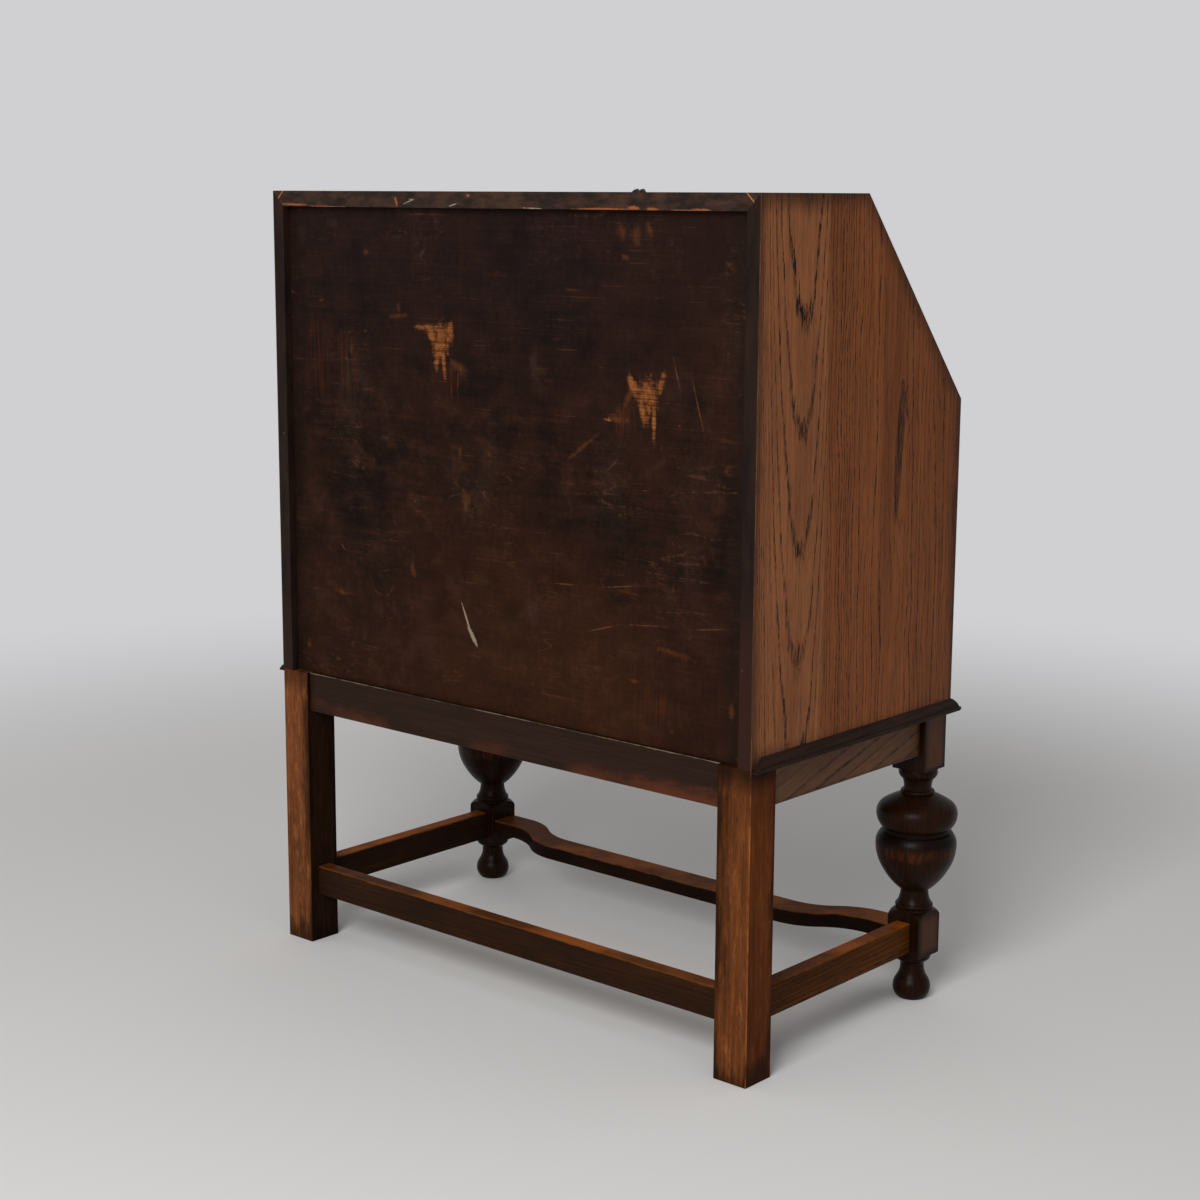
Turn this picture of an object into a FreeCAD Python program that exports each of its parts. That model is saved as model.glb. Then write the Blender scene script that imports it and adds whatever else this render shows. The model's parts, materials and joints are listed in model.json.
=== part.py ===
import FreeCAD, Part
import math
import os
from types import SimpleNamespace

import Sketcher

# Oak fall-front writing bureau on a stand with cup-and-cover turned front legs.
# Millimetres. +Z up, the front faces -Y, +X is the right hand of someone sitting at it.
# The origin is on the floor, midway between the legs' outermost points.

SIZES = {
    # Carcass
    "carcass_width": 762,
    "carcass_depth": 394,
    "carcass_top": 970,
    "top_depth": 194,
    "slope_foot": 734,
    "side_thick": 18,
    "top_thick": 19,
    "panel_inset": 11,
    "panel_thick": 5,
    "panel_groove": 6,
    "blade_thick": 16,
    "blade_depth": 45,
    "runner_width": 40,
    "moulding_height": 15,
    "moulding_reach": 9.5,
    "moulding_nose": 5,
    "moulding_quirk": 1.5,
    "moulding_drop": 3,
    "moulding_rake": 18,
    "moulding_reveal": 4,
    "arris": 1.2,
    # Stand
    "stand_height": 361,
    "leg_size": 46,
    "leg_setback": 7,
    "rail_height": 50,
    "rail_thick": 20,
    "back_rail_inset": 5,
    "rail_inset": 8,
    "stretcher_middle": 81,
    "stretcher_height": 38,
    "stretcher_thick": 20,
    "front_stretcher_width": 38,
    "front_stretcher_thick": 18,
    "sweep_start": 33,
    "sweep_length": 109,
    "sweep_depth": 40,
    # Turned front legs, from the floor up
    "foot_base_radius": 17,
    "foot_radius": 23,
    "foot_swell": 13,
    "foot_neck_radius": 14.5,
    "foot_neck_level": 41,
    "foot_collar_inset": 1,
    "foot_collar_height": 8,
    "foot_height": 56,
    "lower_block_height": 57,
    "dome_height": 15,
    "ring_inset": 0.5,
    "ring_height": 2,
    "bead_height": 6,
    "flare_radius": 21,
    "neck_radius": 17,
    "lower_neck_height": 19,
    "cup_base_radius": 20,
    "cup_height": 56,
    "cup_waist_radius": 39.3,
    "cup_waist_height": 23,
    "bulb_radius": 49,
    "rim_radius": 43.5,
    "rim_height": 14,
    "groove_radius": 40,
    "groove_height": 6,
    "cover_rim_radius": 41.5,
    "cover_low_height": 18,
    "shoulder_radius": 41,
    "shoulder_height": 14,
    "crown_radius": 21,
    "crown_height": 10,
    "upper_bead_height": 5,
    "upper_collar_height": 13,
    "upper_neck_height": 14,
    # Fall and its fittings
    "fall_thick": 18,
    "fall_gap": 1,
    "hinge_gap": 0.4,
    "bed_clearance": 0.6,
    "stop_width": 10,
    "stop_gap": 0.4,
    "stop_foot": 40,
    "stop_head": 40,
    "hinge_spread": 260,
    "hinge_width": 50,
    "hinge_leaf": 28,
    "hinge_leaf_thick": 1.8,
    "knuckle_radius": 3.2,
    "knuckle_room": 1,
    "knuckle_gap": 0.3,
    "pin_radius": 1.5,
    "pin_clearance": 0.05,
    "lock_width": 64,
    "lock_height": 58,
    "lock_depth": 9,
    "lock_wall": 1.5,
    "bolt_width": 20,
    "bolt_thick": 4.6,
    "bolt_throw": 8,
    "bolt_gap": 0.4,
    "strike_thick": 1.2,
    "strike_margin": 6,
    "key_drop": 40,
    "key_radius": 2.4,
    "key_clearance": 0.8,
    "key_reach": 52,
    "key_bow_radius": 5.2,
    "key_bow_spread": 4.7,
    "key_collar_radius": 3.9,
    "key_bow_thick": 3.2,
    "key_bow_hole": 1.8,
    "key_bit_length": 8,
    "escutcheon_width": 22,
    "escutcheon_height": 38,
    "escutcheon_thick": 1.2,
    # Lopers, the slides that carry the open fall
    "loper_row": 50,
    "loper_width": 20,
    "loper_back_clearance": 48,
    "loper_gap": 0.4,
    "guide_thick": 16,
    "frieze_thick": 18,
    "knob_radius": 7,
    "knob_reach": 13,
    "knob_stem": 4,
    # Drawers
    "drawer_gap": 0.8,
    "drawer_setback": 1,
    "drawer_back_clearance": 27,
    "drawer_front_thick": 19,
    "drawer_lap": 9,
    "drawer_side_thick": 10,
    "drawer_back_thick": 9,
    "drawer_bottom_thick": 4.5,
    "drawer_groove": 5,
    "drawer_bottom_lift": 10,
    "drawer_back_drop": 8,
    "handle_spread": 190,
    "handle_lift": 8,
    "plate_radius": 16,
    "plate_thick": 2.5,
    "drop_stand_off": 9,
    "drop_length": 31,
    "drop_radius": 6,
    "drop_neck_radius": 1.5,
    "eye_radius": 3.2,
    "eye_thick": 3.2,
    "eye_gap": 0.4,
    "fork_cheek": 2,
    "drop_pin_radius": 1.2,
    # Stationery rack
    "rack_depth": 140,
    "rack_board": 8,
    "rack_shelf_height": 100,
}


# Rise of an arc as a share of its chord
SLIGHT = 0.022
FAINT = 0.045
SHALLOW = 0.08
ROUNDED = 0.2
BEADED = 0.33


class Size:
    """A length that keeps both its number and the expression that gives it."""

    def __init__(self, number, text):
        self.number = number
        self.text = text

    def joined(self, other, sign, number):
        return Size(number, f"({self.text} {sign} {other.text})")

    def __add__(self, other):
        other = as_size(other)
        return self.joined(other, "+", self.number + other.number)

    def __sub__(self, other):
        other = as_size(other)
        return self.joined(other, "-", self.number - other.number)

    def __mul__(self, other):
        other = as_size(other)
        return self.joined(other, "*", self.number * other.number)

    def __truediv__(self, other):
        other = as_size(other)
        return self.joined(other, "/", self.number / other.number)

    def __radd__(self, other):
        return as_size(other) + self

    def __rsub__(self, other):
        return as_size(other) - self

    def __rmul__(self, other):
        return as_size(other) * self

    def __neg__(self):
        return 0 - self


def as_size(value):
    return value if isinstance(value, Size) else Size(float(value), f"{float(value):.6f}")


def root(size):
    return Size(math.sqrt(size.number), f"sqrt({size.text})")


class Bend:
    """An arc between two corners of an outline: +1 turns left, -1 turns right."""

    def __init__(self, turn, rise=None, radius=None):
        self.turn = turn
        self.rise = rise
        self.radius = radius

    def radius_between(self, start, end):
        if self.radius is not None:
            return self.radius
        across = as_size(end[0]) - start[0]
        along = as_size(end[1]) - start[1]
        chord = root(across * across + along * along)
        return chord * ((0.25 + self.rise ** 2) / (2 * self.rise))


class Swell(Bend):
    """An arc of a turned outline that stands upright at its wide end."""

    def radius_between(self, start, end):
        across = as_size(end[0]) - start[0]
        along = as_size(end[1]) - start[1]
        wider = across if across.number > 0 else -across
        return (across * across + along * along) / (2 * wider)


doc = FreeCAD.newDocument("bureau")
sheet = doc.addObject("Spreadsheet::Sheet", "Sizes")
for row, (name, value) in enumerate(SIZES.items(), start=1):
    sheet.set(f"A{row}", name)
    sheet.set(f"B{row}", str(value))
    sheet.setAlias(f"B{row}", name)
doc.recompute()
s = SimpleNamespace(**{name: Size(float(value), f"Sizes.{name}") for name, value in SIZES.items()})
nodes = []

# Sizes that follow from the ones above. Depths run forward from the back plane of the carcass.
half_width = s.carcass_width / 2
inner_x = half_width - s.side_thick
leg_axis_x = half_width - s.leg_size / 2
leg_axis_depth = s.carcass_depth - s.leg_setback - s.leg_size / 2
back_y = (leg_axis_depth + s.bulb_radius) / 2
panel_front = s.panel_inset + s.panel_thick
top_low = s.carcass_top - s.top_thick
slope_run = s.carcass_depth - s.top_depth
slope_rise = s.carcass_top - s.slope_foot
slope_length = root(slope_run * slope_run + slope_rise * slope_rise)
lean_cos = slope_run / slope_length
lean_sin = slope_rise / slope_length
hinge_depth = s.carcass_depth - s.fall_thick * lean_sin
bed_top = s.slope_foot - s.fall_thick * lean_cos
bed_low = bed_top - s.fall_thick - s.bed_clearance
frieze_low = bed_low - s.loper_row
upper_blade_low = frieze_low - s.blade_thick
moulding_low = s.stand_height - s.moulding_drop
moulding_top = moulding_low + s.moulding_height
floor_top = moulding_top + s.moulding_reveal
drawer_space = (upper_blade_low - floor_top - s.blade_thick) / 2
middle_blade_low = floor_top + drawer_space
loper_room = s.loper_width + 2 * s.loper_gap
guide_x = inner_x - loper_room
fall_end = slope_length - s.fall_gap
key_level = slope_length - s.key_drop


def at_depth(depth):
    return back_y - depth


def bind(thing, path, size):
    thing.setExpression(path, as_size(size).text)


def place(thing, x=0, y=0, z=0):
    for axis, value in (("x", x), ("y", y), ("z", z)):
        bind(thing, f"Placement.Base.{axis}", value)


def turn(thing, axis, degrees):
    thing.Placement = FreeCAD.Placement(FreeCAD.Vector(), FreeCAD.Rotation(FreeCAD.Vector(*axis), degrees))


def place_on_fall(thing, x=0, up=0, out=0):
    """Stand a thing on the fall: up runs along the inner face from the hinge, out towards the room."""
    turn(thing, (1, 0, 0), 1)
    bind(thing, "Placement.Base.x", x)
    bind(thing, "Placement.Base.y", at_depth(hinge_depth) + up * lean_cos - out * lean_sin)
    bind(thing, "Placement.Base.z", bed_top + up * lean_sin + out * lean_cos)
    thing.setExpression("Placement.Rotation.Angle", f"atan({slope_rise.text} / {slope_run.text})")


def node(label, thing):
    thing.Label = label
    nodes.append(thing)
    return thing


def box(label, x, y, z):
    """A square-edged block between two corners, each given as a (low, high) pair."""
    block = doc.addObject("Part::Box", label)
    for path, (low, high) in (("Length", x), ("Width", y), ("Height", z)):
        bind(block, path, as_size(high) - low)
    place(block, x[0], y[0], z[0])
    return block


def box_on_fall(label, x, up, out):
    block = doc.addObject("Part::Box", label)
    for path, (low, high) in (("Length", x), ("Width", up), ("Height", out)):
        bind(block, path, as_size(high) - low)
    place_on_fall(block, x[0], as_size(up[0]), as_size(out[0]))
    return block


def rod_along_x(label, radius, x, y, z):
    rod = doc.addObject("Part::Cylinder", label)
    bind(rod, "Radius", radius)
    bind(rod, "Height", as_size(x[1]) - x[0])
    turn(rod, (0, 1, 0), 90)
    place(rod, x[0], y, z)
    return rod


def fuse(label, pieces):
    joined = doc.addObject("Part::MultiFuse", label)
    joined.Shapes = pieces
    return joined


def cut(label, base, tool):
    carved = doc.addObject("Part::Cut", label)
    carved.Base = base
    carved.Tool = tool
    return carved


def group(label, pieces):
    together = doc.addObject("Part::Compound", label)
    together.Links = pieces
    return node(label, together)


def new_body(label):
    return doc.addObject("PartDesign::Body", label)


def origin_feature(body, role):
    return next(part for part in body.Origin.OriginFeatures if part.Role == role)


def arc_between(start, end, radius, turning):
    """The shorter arc of a given radius from start to end."""
    middle = (start + end) * 0.5
    along = end - start
    left = FreeCAD.Vector(-along.y, along.x, 0).normalize() * turning
    reach = math.sqrt(max(radius ** 2 - (along.Length / 2) ** 2, 0.0))
    centre = middle + left * reach
    crown = centre - left * radius
    return Part.Arc(start, crown, end)


def new_sketch(body, role, name):
    sketch = body.newObject("Sketcher::SketchObject", name)
    sketch.AttachmentSupport = [(origin_feature(body, role), "")]
    sketch.MapMode = "FlatFace"
    return sketch


def hold_point(sketch, edge, end, u, v):
    for kind, size in (("DistanceX", as_size(u)), ("DistanceY", as_size(v))):
        index = sketch.addConstraint(Sketcher.Constraint(kind, -1, 1, edge, end, size.number))
        sketch.setExpression(f"Constraints[{index}]", size.text)


def outline(body, role, path, name):
    """A closed outline through corners, straight between them except where a Bend is listed."""
    corners = [step for step in path if not isinstance(step, Bend)]
    bends = {}
    for index, step in enumerate(path):
        if isinstance(step, Bend):
            bends[sum(not isinstance(before, Bend) for before in path[:index]) - 1] = step
    sketch = new_sketch(body, role, name)
    points = [FreeCAD.Vector(as_size(u).number, as_size(v).number, 0) for u, v in corners]
    ends = {}
    radii = {}
    for index, start in enumerate(points):
        after = (index + 1) % len(points)
        if index in bends:
            radii[index] = as_size(bends[index].radius_between(corners[index], corners[after]))
            arc = arc_between(start, points[after], radii[index].number, bends[index].turn)
            sketch.addGeometry(arc, False)
            ends[index] = (1, 2) if bends[index].turn > 0 else (2, 1)
        else:
            sketch.addGeometry(Part.LineSegment(start, points[after]), False)
            ends[index] = (1, 2)
    for index, (u, v) in enumerate(corners):
        after = (index + 1) % len(corners)
        joint = Sketcher.Constraint("Coincident", index, ends[index][1], after, ends[after][0])
        sketch.addConstraint(joint)
        hold_point(sketch, index, ends[index][0], u, v)
    for index, radius in radii.items():
        held = sketch.addConstraint(Sketcher.Constraint("Radius", index, radius.number))
        sketch.setExpression(f"Constraints[{held}]", radius.text)
    return sketch


def ring_outline(body, role, circles, name):
    """Circles given as (u, v, radius)."""
    sketch = new_sketch(body, role, name)
    for index, (u, v, radius) in enumerate(circles):
        centre = FreeCAD.Vector(as_size(u).number, as_size(v).number, 0)
        sketch.addGeometry(Part.Circle(centre, FreeCAD.Vector(0, 0, 1), as_size(radius).number), False)
        hold_point(sketch, index, 3, u, v)
        held = sketch.addConstraint(Sketcher.Constraint("Radius", index, as_size(radius).number))
        sketch.setExpression(f"Constraints[{held}]", as_size(radius).text)
    return sketch


def raise_plane(sketch, height):
    bind(sketch, "AttachmentOffset.Base.z", height)


def pad(body, sketch, length, both_ways=False):
    feature = body.newObject("PartDesign::Pad", f"{sketch.Name}_pad")
    feature.Profile = sketch
    feature.SideType = "Symmetric" if both_ways else "One side"
    bind(feature, "Length", length)
    return feature


def pocket(body, sketch, length, reverse=False, both_ways=False):
    feature = body.newObject("PartDesign::Pocket", f"{sketch.Name}_pocket")
    feature.Profile = sketch
    feature.SideType = "Symmetric" if both_ways else "One side"
    feature.Reversed = reverse
    bind(feature, "Length", length)
    return feature


def spin(body, sketch, axis, kind="PartDesign::Revolution"):
    feature = body.newObject(kind, f"{sketch.Name}_turned")
    feature.Profile = sketch
    feature.ReferenceAxis = (origin_feature(body, axis), [""])
    feature.Angle = 360
    return feature


def rectangle(u, v):
    return [(u[0], v[0]), (u[1], v[0]), (u[1], v[1]), (u[0], v[1])]


def eased_rectangle(u, v, ease):
    """A rectangle with its four corners taken off."""
    u_low, u_high = as_size(u[0]), as_size(u[1])
    v_low, v_high = as_size(v[0]), as_size(v[1])
    return [
        (u_low + ease, v_low), (u_high - ease, v_low), (u_high, v_low + ease), (u_high, v_high - ease),
        (u_high - ease, v_high), (u_low + ease, v_high), (u_low, v_high - ease), (u_low, v_low + ease),
    ]


def eased_board(label, x, y, z, along):
    """A board whose long edges, along one axis, have their arrises taken off."""
    body = new_body(label)
    spans = {"x": x, "y": y, "z": z}
    role, across, upright = {
        "x": ("YZ_Plane", "y", "z"),
        "y": ("XZ_Plane", "x", "z"),
        "z": ("XY_Plane", "x", "y"),
    }[along]
    section = outline(body, role, eased_rectangle(spans[across], spans[upright], s.arris), f"{label}_section")
    low, high = (as_size(value) for value in spans[along])
    pad(body, section, high - low)
    start = high if along == "y" else low
    bind(body, f"Placement.Base.{along}", start)
    return node(label, body)


def for_each_hand(make):
    """Left has negative X, right has positive X."""
    for name, hand in (("left", -1), ("right", 1)):
        make(name, hand)


def span(hand, near, far):
    """An X range on one side of the middle, low end first."""
    return (near, far) if hand > 0 else (-far, -near)


# Carcass

def side(name, hand):
    """End board with the slope of the fall, mitred to the top and grooved for the back panel."""
    label = f"{name}_side"
    body = new_body(label)
    profile = [
        (at_depth(0), s.stand_height), (at_depth(0), s.carcass_top), (at_depth(s.top_depth), s.carcass_top),
        (at_depth(s.carcass_depth), s.slope_foot), (at_depth(s.carcass_depth), s.stand_height),
    ]
    pad(body, outline(body, "YZ_Plane", profile, f"{label}_profile"), s.side_thick)
    inner, outer = (0, s.side_thick) if hand > 0 else (s.side_thick, 0)
    mitre = [(inner, top_low), (outer, s.carcass_top), (inner, s.carcass_top)]
    cutter = outline(body, "XZ_Plane", mitre, f"{label}_mitre")
    pocket(body, cutter, 2 * s.carcass_depth, both_ways=True)
    slot_x = (0, s.panel_groove) if hand > 0 else (s.side_thick - s.panel_groove, s.side_thick)
    slot = rectangle(slot_x, (at_depth(panel_front), at_depth(s.panel_inset)))
    groove = outline(body, "XY_Plane", slot, f"{label}_groove")
    raise_plane(groove, s.stand_height)
    pocket(body, groove, top_low + s.panel_groove - s.stand_height, reverse=True)
    bind(body, "Placement.Base.x", inner_x if hand > 0 else -half_width)
    return node(label, body)


def top_board():
    """Top with mitred ends and a front edge square to the fall, cut for the lock bolt."""
    body = new_body("top_board_wood")
    bevel_back = s.top_thick * lean_sin / lean_cos
    profile = [
        (at_depth(0), top_low), (at_depth(0), s.carcass_top), (at_depth(s.top_depth), s.carcass_top),
        (at_depth(s.top_depth - bevel_back), top_low),
    ]
    pad(body, outline(body, "YZ_Plane", profile, "top_profile"), s.carcass_width, both_ways=True)
    for name, hand in (("left", -1), ("right", 1)):
        mitre = [(hand * half_width, s.carcass_top), (hand * inner_x, top_low), (hand * half_width, top_low)]
        cutter = outline(body, "XZ_Plane", mitre, f"top_{name}_mitre")
        pocket(body, cutter, 2 * s.carcass_depth, both_ways=True)
    groove_x = inner_x + s.panel_groove
    slot = rectangle((-groove_x, groove_x), (at_depth(panel_front), at_depth(s.panel_inset)))
    groove = outline(body, "XY_Plane", slot, "top_groove")
    raise_plane(groove, top_low)
    pocket(body, groove, s.panel_groove, reverse=True)
    mortise = box_on_fall("bolt_mortise", *bolt_room(slope_length, slope_length + s.bolt_throw + s.bolt_gap))
    recess = box_on_fall("strike_recess", *strike_span())
    return node("top_board", cut("top_board", body, fuse("top_cuts", [mortise, recess])))


def bolt_room(low, high):
    """The space the lock bolt runs through, with its clearance."""
    half = s.bolt_width / 2 + s.bolt_gap
    middle = s.lock_depth / 2
    return (-half, half), (low, high), (middle - s.bolt_thick / 2 - s.bolt_gap,
                                        middle + s.bolt_thick / 2 + s.bolt_gap)


def strike_span():
    half = s.bolt_width / 2 + s.strike_margin
    middle = s.lock_depth / 2
    reach = s.bolt_thick / 2 + s.strike_margin / 2
    return (-half, half), (slope_length, slope_length + s.strike_thick), (middle - reach, middle + reach)


def strike_plate():
    plate = box_on_fall("strike_blank", *strike_span())
    beyond = slope_length + 2 * s.strike_thick
    slot = box_on_fall("strike_slot", *bolt_room(slope_length - s.fall_gap, beyond))
    return node("strike_plate", cut("strike_plate", plate, slot))


def back_panel():
    reach = inner_x + s.panel_groove
    depth = (at_depth(panel_front), at_depth(s.panel_inset))
    height = (s.stand_height, top_low + s.panel_groove)
    return node("back_panel", box("back_panel", (-reach, reach), depth, height))


def inner_boards():
    """Bottom, writing bed, frieze and drawer blades between the sides."""
    wide = (-inner_x, inner_x)
    front = at_depth(s.carcass_depth)
    behind = at_depth(panel_front)
    node("bottom_board", box("bottom_board", wide, (front, behind), (s.stand_height, floor_top)))
    for label, low in (("upper_blade", upper_blade_low), ("middle_blade", middle_blade_low)):
        depth = (front, at_depth(s.carcass_depth - s.blade_depth))
        node(label, box(label, wide, depth, (low, low + s.blade_thick)))
    for label, low in (("upper_runners", upper_blade_low), ("lower_runners", middle_blade_low)):
        depth = (at_depth(s.carcass_depth - s.blade_depth), behind)
        pieces = []
        for name, hand in (("left", -1), ("right", 1)):
            width = span(hand, inner_x - s.runner_width, inner_x)
            pieces.append(box(f"{name}_{label}", width, depth, (low, low + s.blade_thick)))
        group(label, pieces)
    frieze_x = guide_x - s.guide_thick
    depth = (front, at_depth(s.carcass_depth - s.frieze_thick))
    node("frieze_rail", box("frieze_rail", (-frieze_x, frieze_x), depth, (frieze_low, bed_low)))
    guides = []
    for name, hand in (("left", -1), ("right", 1)):
        width = span(hand, frieze_x, guide_x)
        guides.append(box(f"{name}_guide", width, (front, behind), (frieze_low, bed_low)))
    group("loper_guides", guides)


def writing_bed():
    """Bed with its front edge at the hinge line and recesses for the hinge leaves."""
    front = at_depth(hinge_depth - s.hinge_gap)
    behind = at_depth(panel_front)
    plank = box("bed_plank", (-inner_x, inner_x), (front, behind), (bed_low, bed_top))
    cuts = []
    room = s.knuckle_radius + s.knuckle_room
    for name, hand in (("left", -1), ("right", 1)):
        middle = hand * s.hinge_spread
        leaf_x = (middle - s.hinge_width / 2, middle + s.hinge_width / 2)
        knuckle_x = (leaf_x[0] - s.knuckle_gap, leaf_x[1] + s.knuckle_gap)
        leaf_y = (front, at_depth(hinge_depth - s.hinge_leaf))
        cuts.append(box(f"{name}_bed_recess", leaf_x, leaf_y, (bed_top - s.hinge_leaf_thick, bed_top)))
        knuckle_y = (front, at_depth(hinge_depth - room))
        cuts.append(box(f"{name}_bed_notch", knuckle_x, knuckle_y, (bed_top - room, bed_top)))
    return node("writing_bed", cut("writing_bed", plank, fuse("bed_cuts", cuts)))


def stationery_rack():
    """Shelf and dividers behind the fall."""
    depth = (at_depth(panel_front + s.rack_depth), at_depth(panel_front))
    shelf_low = bed_top + s.rack_shelf_height
    shelf_top = shelf_low + s.rack_board
    node("rack_shelf", box("rack_shelf", (-inner_x, inner_x), depth, (shelf_low, shelf_top)))
    for label, count, height in (
        ("upper_dividers", 4, (shelf_top, top_low)),
        ("lower_dividers", 2, (bed_top, shelf_low)),
    ):
        pitch = 2 * inner_x / (count + 1)
        pieces = []
        for index in range(count):
            middle = (index + 1) * pitch - inner_x
            width = (middle - s.rack_board / 2, middle + s.rack_board / 2)
            pieces.append(box(f"{label}_{index + 1}", width, depth, height))
        group(label, pieces)


def fall_stops():
    pieces = []
    for name, hand in (("left", -1), ("right", 1)):
        width = span(hand, inner_x - s.stop_width, inner_x)
        length = (s.stop_foot, slope_length - s.stop_head)
        pieces.append(box_on_fall(f"{name}_stop", width, length, (-s.stop_gap - s.stop_width, -s.stop_gap)))
    group("fall_stops", pieces)


def moulding_section(outward):
    """Base moulding: a nose, a quirk and an ovolo that runs up to the board behind."""
    crown = s.moulding_reach - s.moulding_quirk
    nose_low = moulding_low + s.moulding_quirk
    nose_top = moulding_low + s.moulding_nose
    path = [
        (0, moulding_low), (crown, moulding_low),
        (s.moulding_reach, nose_low), (s.moulding_reach, nose_top), (crown, nose_top),
        Bend(1, SHALLOW), (s.arris, moulding_top), (0, moulding_top),
    ]
    if outward > 0:
        return path
    return [Bend(-step.turn, step.rise) if isinstance(step, Bend) else (-as_size(step[0]), step[1])
            for step in path]


def side_moulding(name, hand):
    """Mitred to the front moulding; the rear end leans forward from its foot."""
    label = f"{name}_moulding"
    body = new_body(label)
    section = outline(body, "XZ_Plane", moulding_section(hand), f"{label}_section")
    pad(body, section, s.carcass_depth + s.moulding_reach)
    reach = hand * s.moulding_reach
    corner = [(0, -s.carcass_depth), (reach, -s.carcass_depth - s.moulding_reach),
              (0, -s.carcass_depth - s.moulding_reach)]
    cutter = outline(body, "XY_Plane", corner, f"{label}_mitre")
    pocket(body, cutter, 2 * s.carcass_top, both_ways=True)
    rake = [(0, moulding_low), (0, moulding_top), (-s.moulding_rake, moulding_top)]
    cutter = outline(body, "YZ_Plane", rake, f"{label}_rear_end")
    pocket(body, cutter, 2 * s.moulding_reach, both_ways=True)
    place(body, hand * half_width, at_depth(0), 0)
    return node(label, body)


def front_moulding():
    body = new_body("front_moulding")
    section = outline(body, "YZ_Plane", moulding_section(-1), "front_moulding_section")
    pad(body, section, s.carcass_width + 2 * s.moulding_reach, both_ways=True)
    for name, hand in (("left", -1), ("right", 1)):
        tip = hand * (half_width + s.moulding_reach)
        corner = [(hand * half_width, 0), (tip, -s.moulding_reach), (tip, 0)]
        cutter = outline(body, "XY_Plane", corner, f"front_moulding_{name}_mitre")
        pocket(body, cutter, 2 * s.carcass_top, both_ways=True)
    bind(body, "Placement.Base.y", at_depth(s.carcass_depth))
    return node("front_moulding", body)


# Stand

def rear_leg(name, hand):
    width = span(hand, half_width - s.leg_size, half_width)
    eased_board(f"{name}_rear_leg", width, (at_depth(s.leg_size), at_depth(0)), (0, s.stand_height), "z")


def leg_block(body, name, low, height):
    half = s.leg_size / 2
    square = outline(body, "XY_Plane", eased_rectangle((-half, half), (-half, half), s.arris), name)
    raise_plane(square, low)
    pad(body, square, height)


def front_leg(name, hand):
    """Cup-and-cover leg: a turned spindle between square blocks, the lower block domed on top."""
    label = f"{name}_front_leg"
    body = new_body(label)
    dome_top = s.foot_height + s.lower_block_height
    ring_top = dome_top + s.ring_height
    bead_top = ring_top + s.bead_height
    cup_low = bead_top + s.lower_neck_height
    cup_top = cup_low + s.cup_height
    groove_low = cup_top + s.rim_height
    groove_top = groove_low + s.groove_height
    cover_middle = groove_top + s.cover_low_height
    shoulder = cover_middle + s.shoulder_height
    cover_top = shoulder + s.crown_height
    upper_bead_top = cover_top + s.upper_bead_height
    collar_low = upper_bead_top + s.upper_neck_height
    block_low = collar_low + s.upper_collar_height
    ring_radius = s.leg_size / 2 - s.ring_inset
    collar_radius = s.leg_size / 2 - s.foot_collar_inset
    bead_radius = s.neck_radius + s.ring_height
    collar_waist = (s.foot_neck_radius + collar_radius) / 2
    foot = [
        (0, 0), (s.foot_base_radius, 0), Swell(1), (s.foot_radius, s.foot_swell),
        Swell(1), ((s.foot_radius + s.foot_neck_radius) / 2, s.foot_swell * 2),
        Bend(-1, SHALLOW), (s.foot_neck_radius, s.foot_neck_level),
        Bend(-1, ROUNDED), (collar_waist, s.foot_height - s.foot_collar_height),
        Bend(1, ROUNDED), (collar_radius, s.foot_height), (collar_radius, dome_top),
    ]
    lower_bead = [
        (ring_radius, dome_top), (ring_radius, ring_top), (s.flare_radius, ring_top),
        Bend(1, BEADED), (s.flare_radius, bead_top), Bend(-1, SHALLOW), (s.neck_radius, cup_low),
    ]
    cup = [
        (s.cup_base_radius, cup_low), Bend(1, FAINT), (s.cup_waist_radius, cup_low + s.cup_waist_height),
        Swell(1), (s.bulb_radius, cup_top), Swell(1), (s.rim_radius, groove_low),
        (s.groove_radius, groove_low), (s.groove_radius, groove_top),
    ]
    cover = [
        (s.cover_rim_radius, groove_top), Swell(1), (s.bulb_radius, cover_middle),
        Swell(1), (s.shoulder_radius, shoulder), Bend(1, SLIGHT), (s.crown_radius, cover_top),
    ]
    upper_bead = [
        (bead_radius, cover_top), Bend(1, BEADED), (bead_radius, upper_bead_top),
        (s.neck_radius, upper_bead_top), Bend(-1, SHALLOW), (bead_radius, collar_low),
        Bend(1, ROUNDED), (ring_radius, block_low), (0, block_low),
    ]
    profile = foot + lower_bead + cup + cover + upper_bead
    spin(body, outline(body, "XZ_Plane", profile, f"{label}_spindle"), "Z_Axis")
    leg_block(body, f"{label}_upper_block", block_low, s.stand_height - block_low)
    leg_block(body, f"{label}_lower_block", s.foot_height, s.lower_block_height)
    outside = s.leg_size
    corner = outside * math.sqrt(0.5)
    dome_low = dome_top - s.dome_height
    dome = [(ring_radius, dome_top), Bend(-1, ROUNDED), (corner, dome_low),
            (outside, dome_low), (outside, dome_top)]
    spin(body, outline(body, "XZ_Plane", dome, f"{label}_dome"), "Z_Axis", "PartDesign::Groove")
    place(body, hand * leg_axis_x, at_depth(leg_axis_depth), 0)
    return node(label, body)


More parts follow.
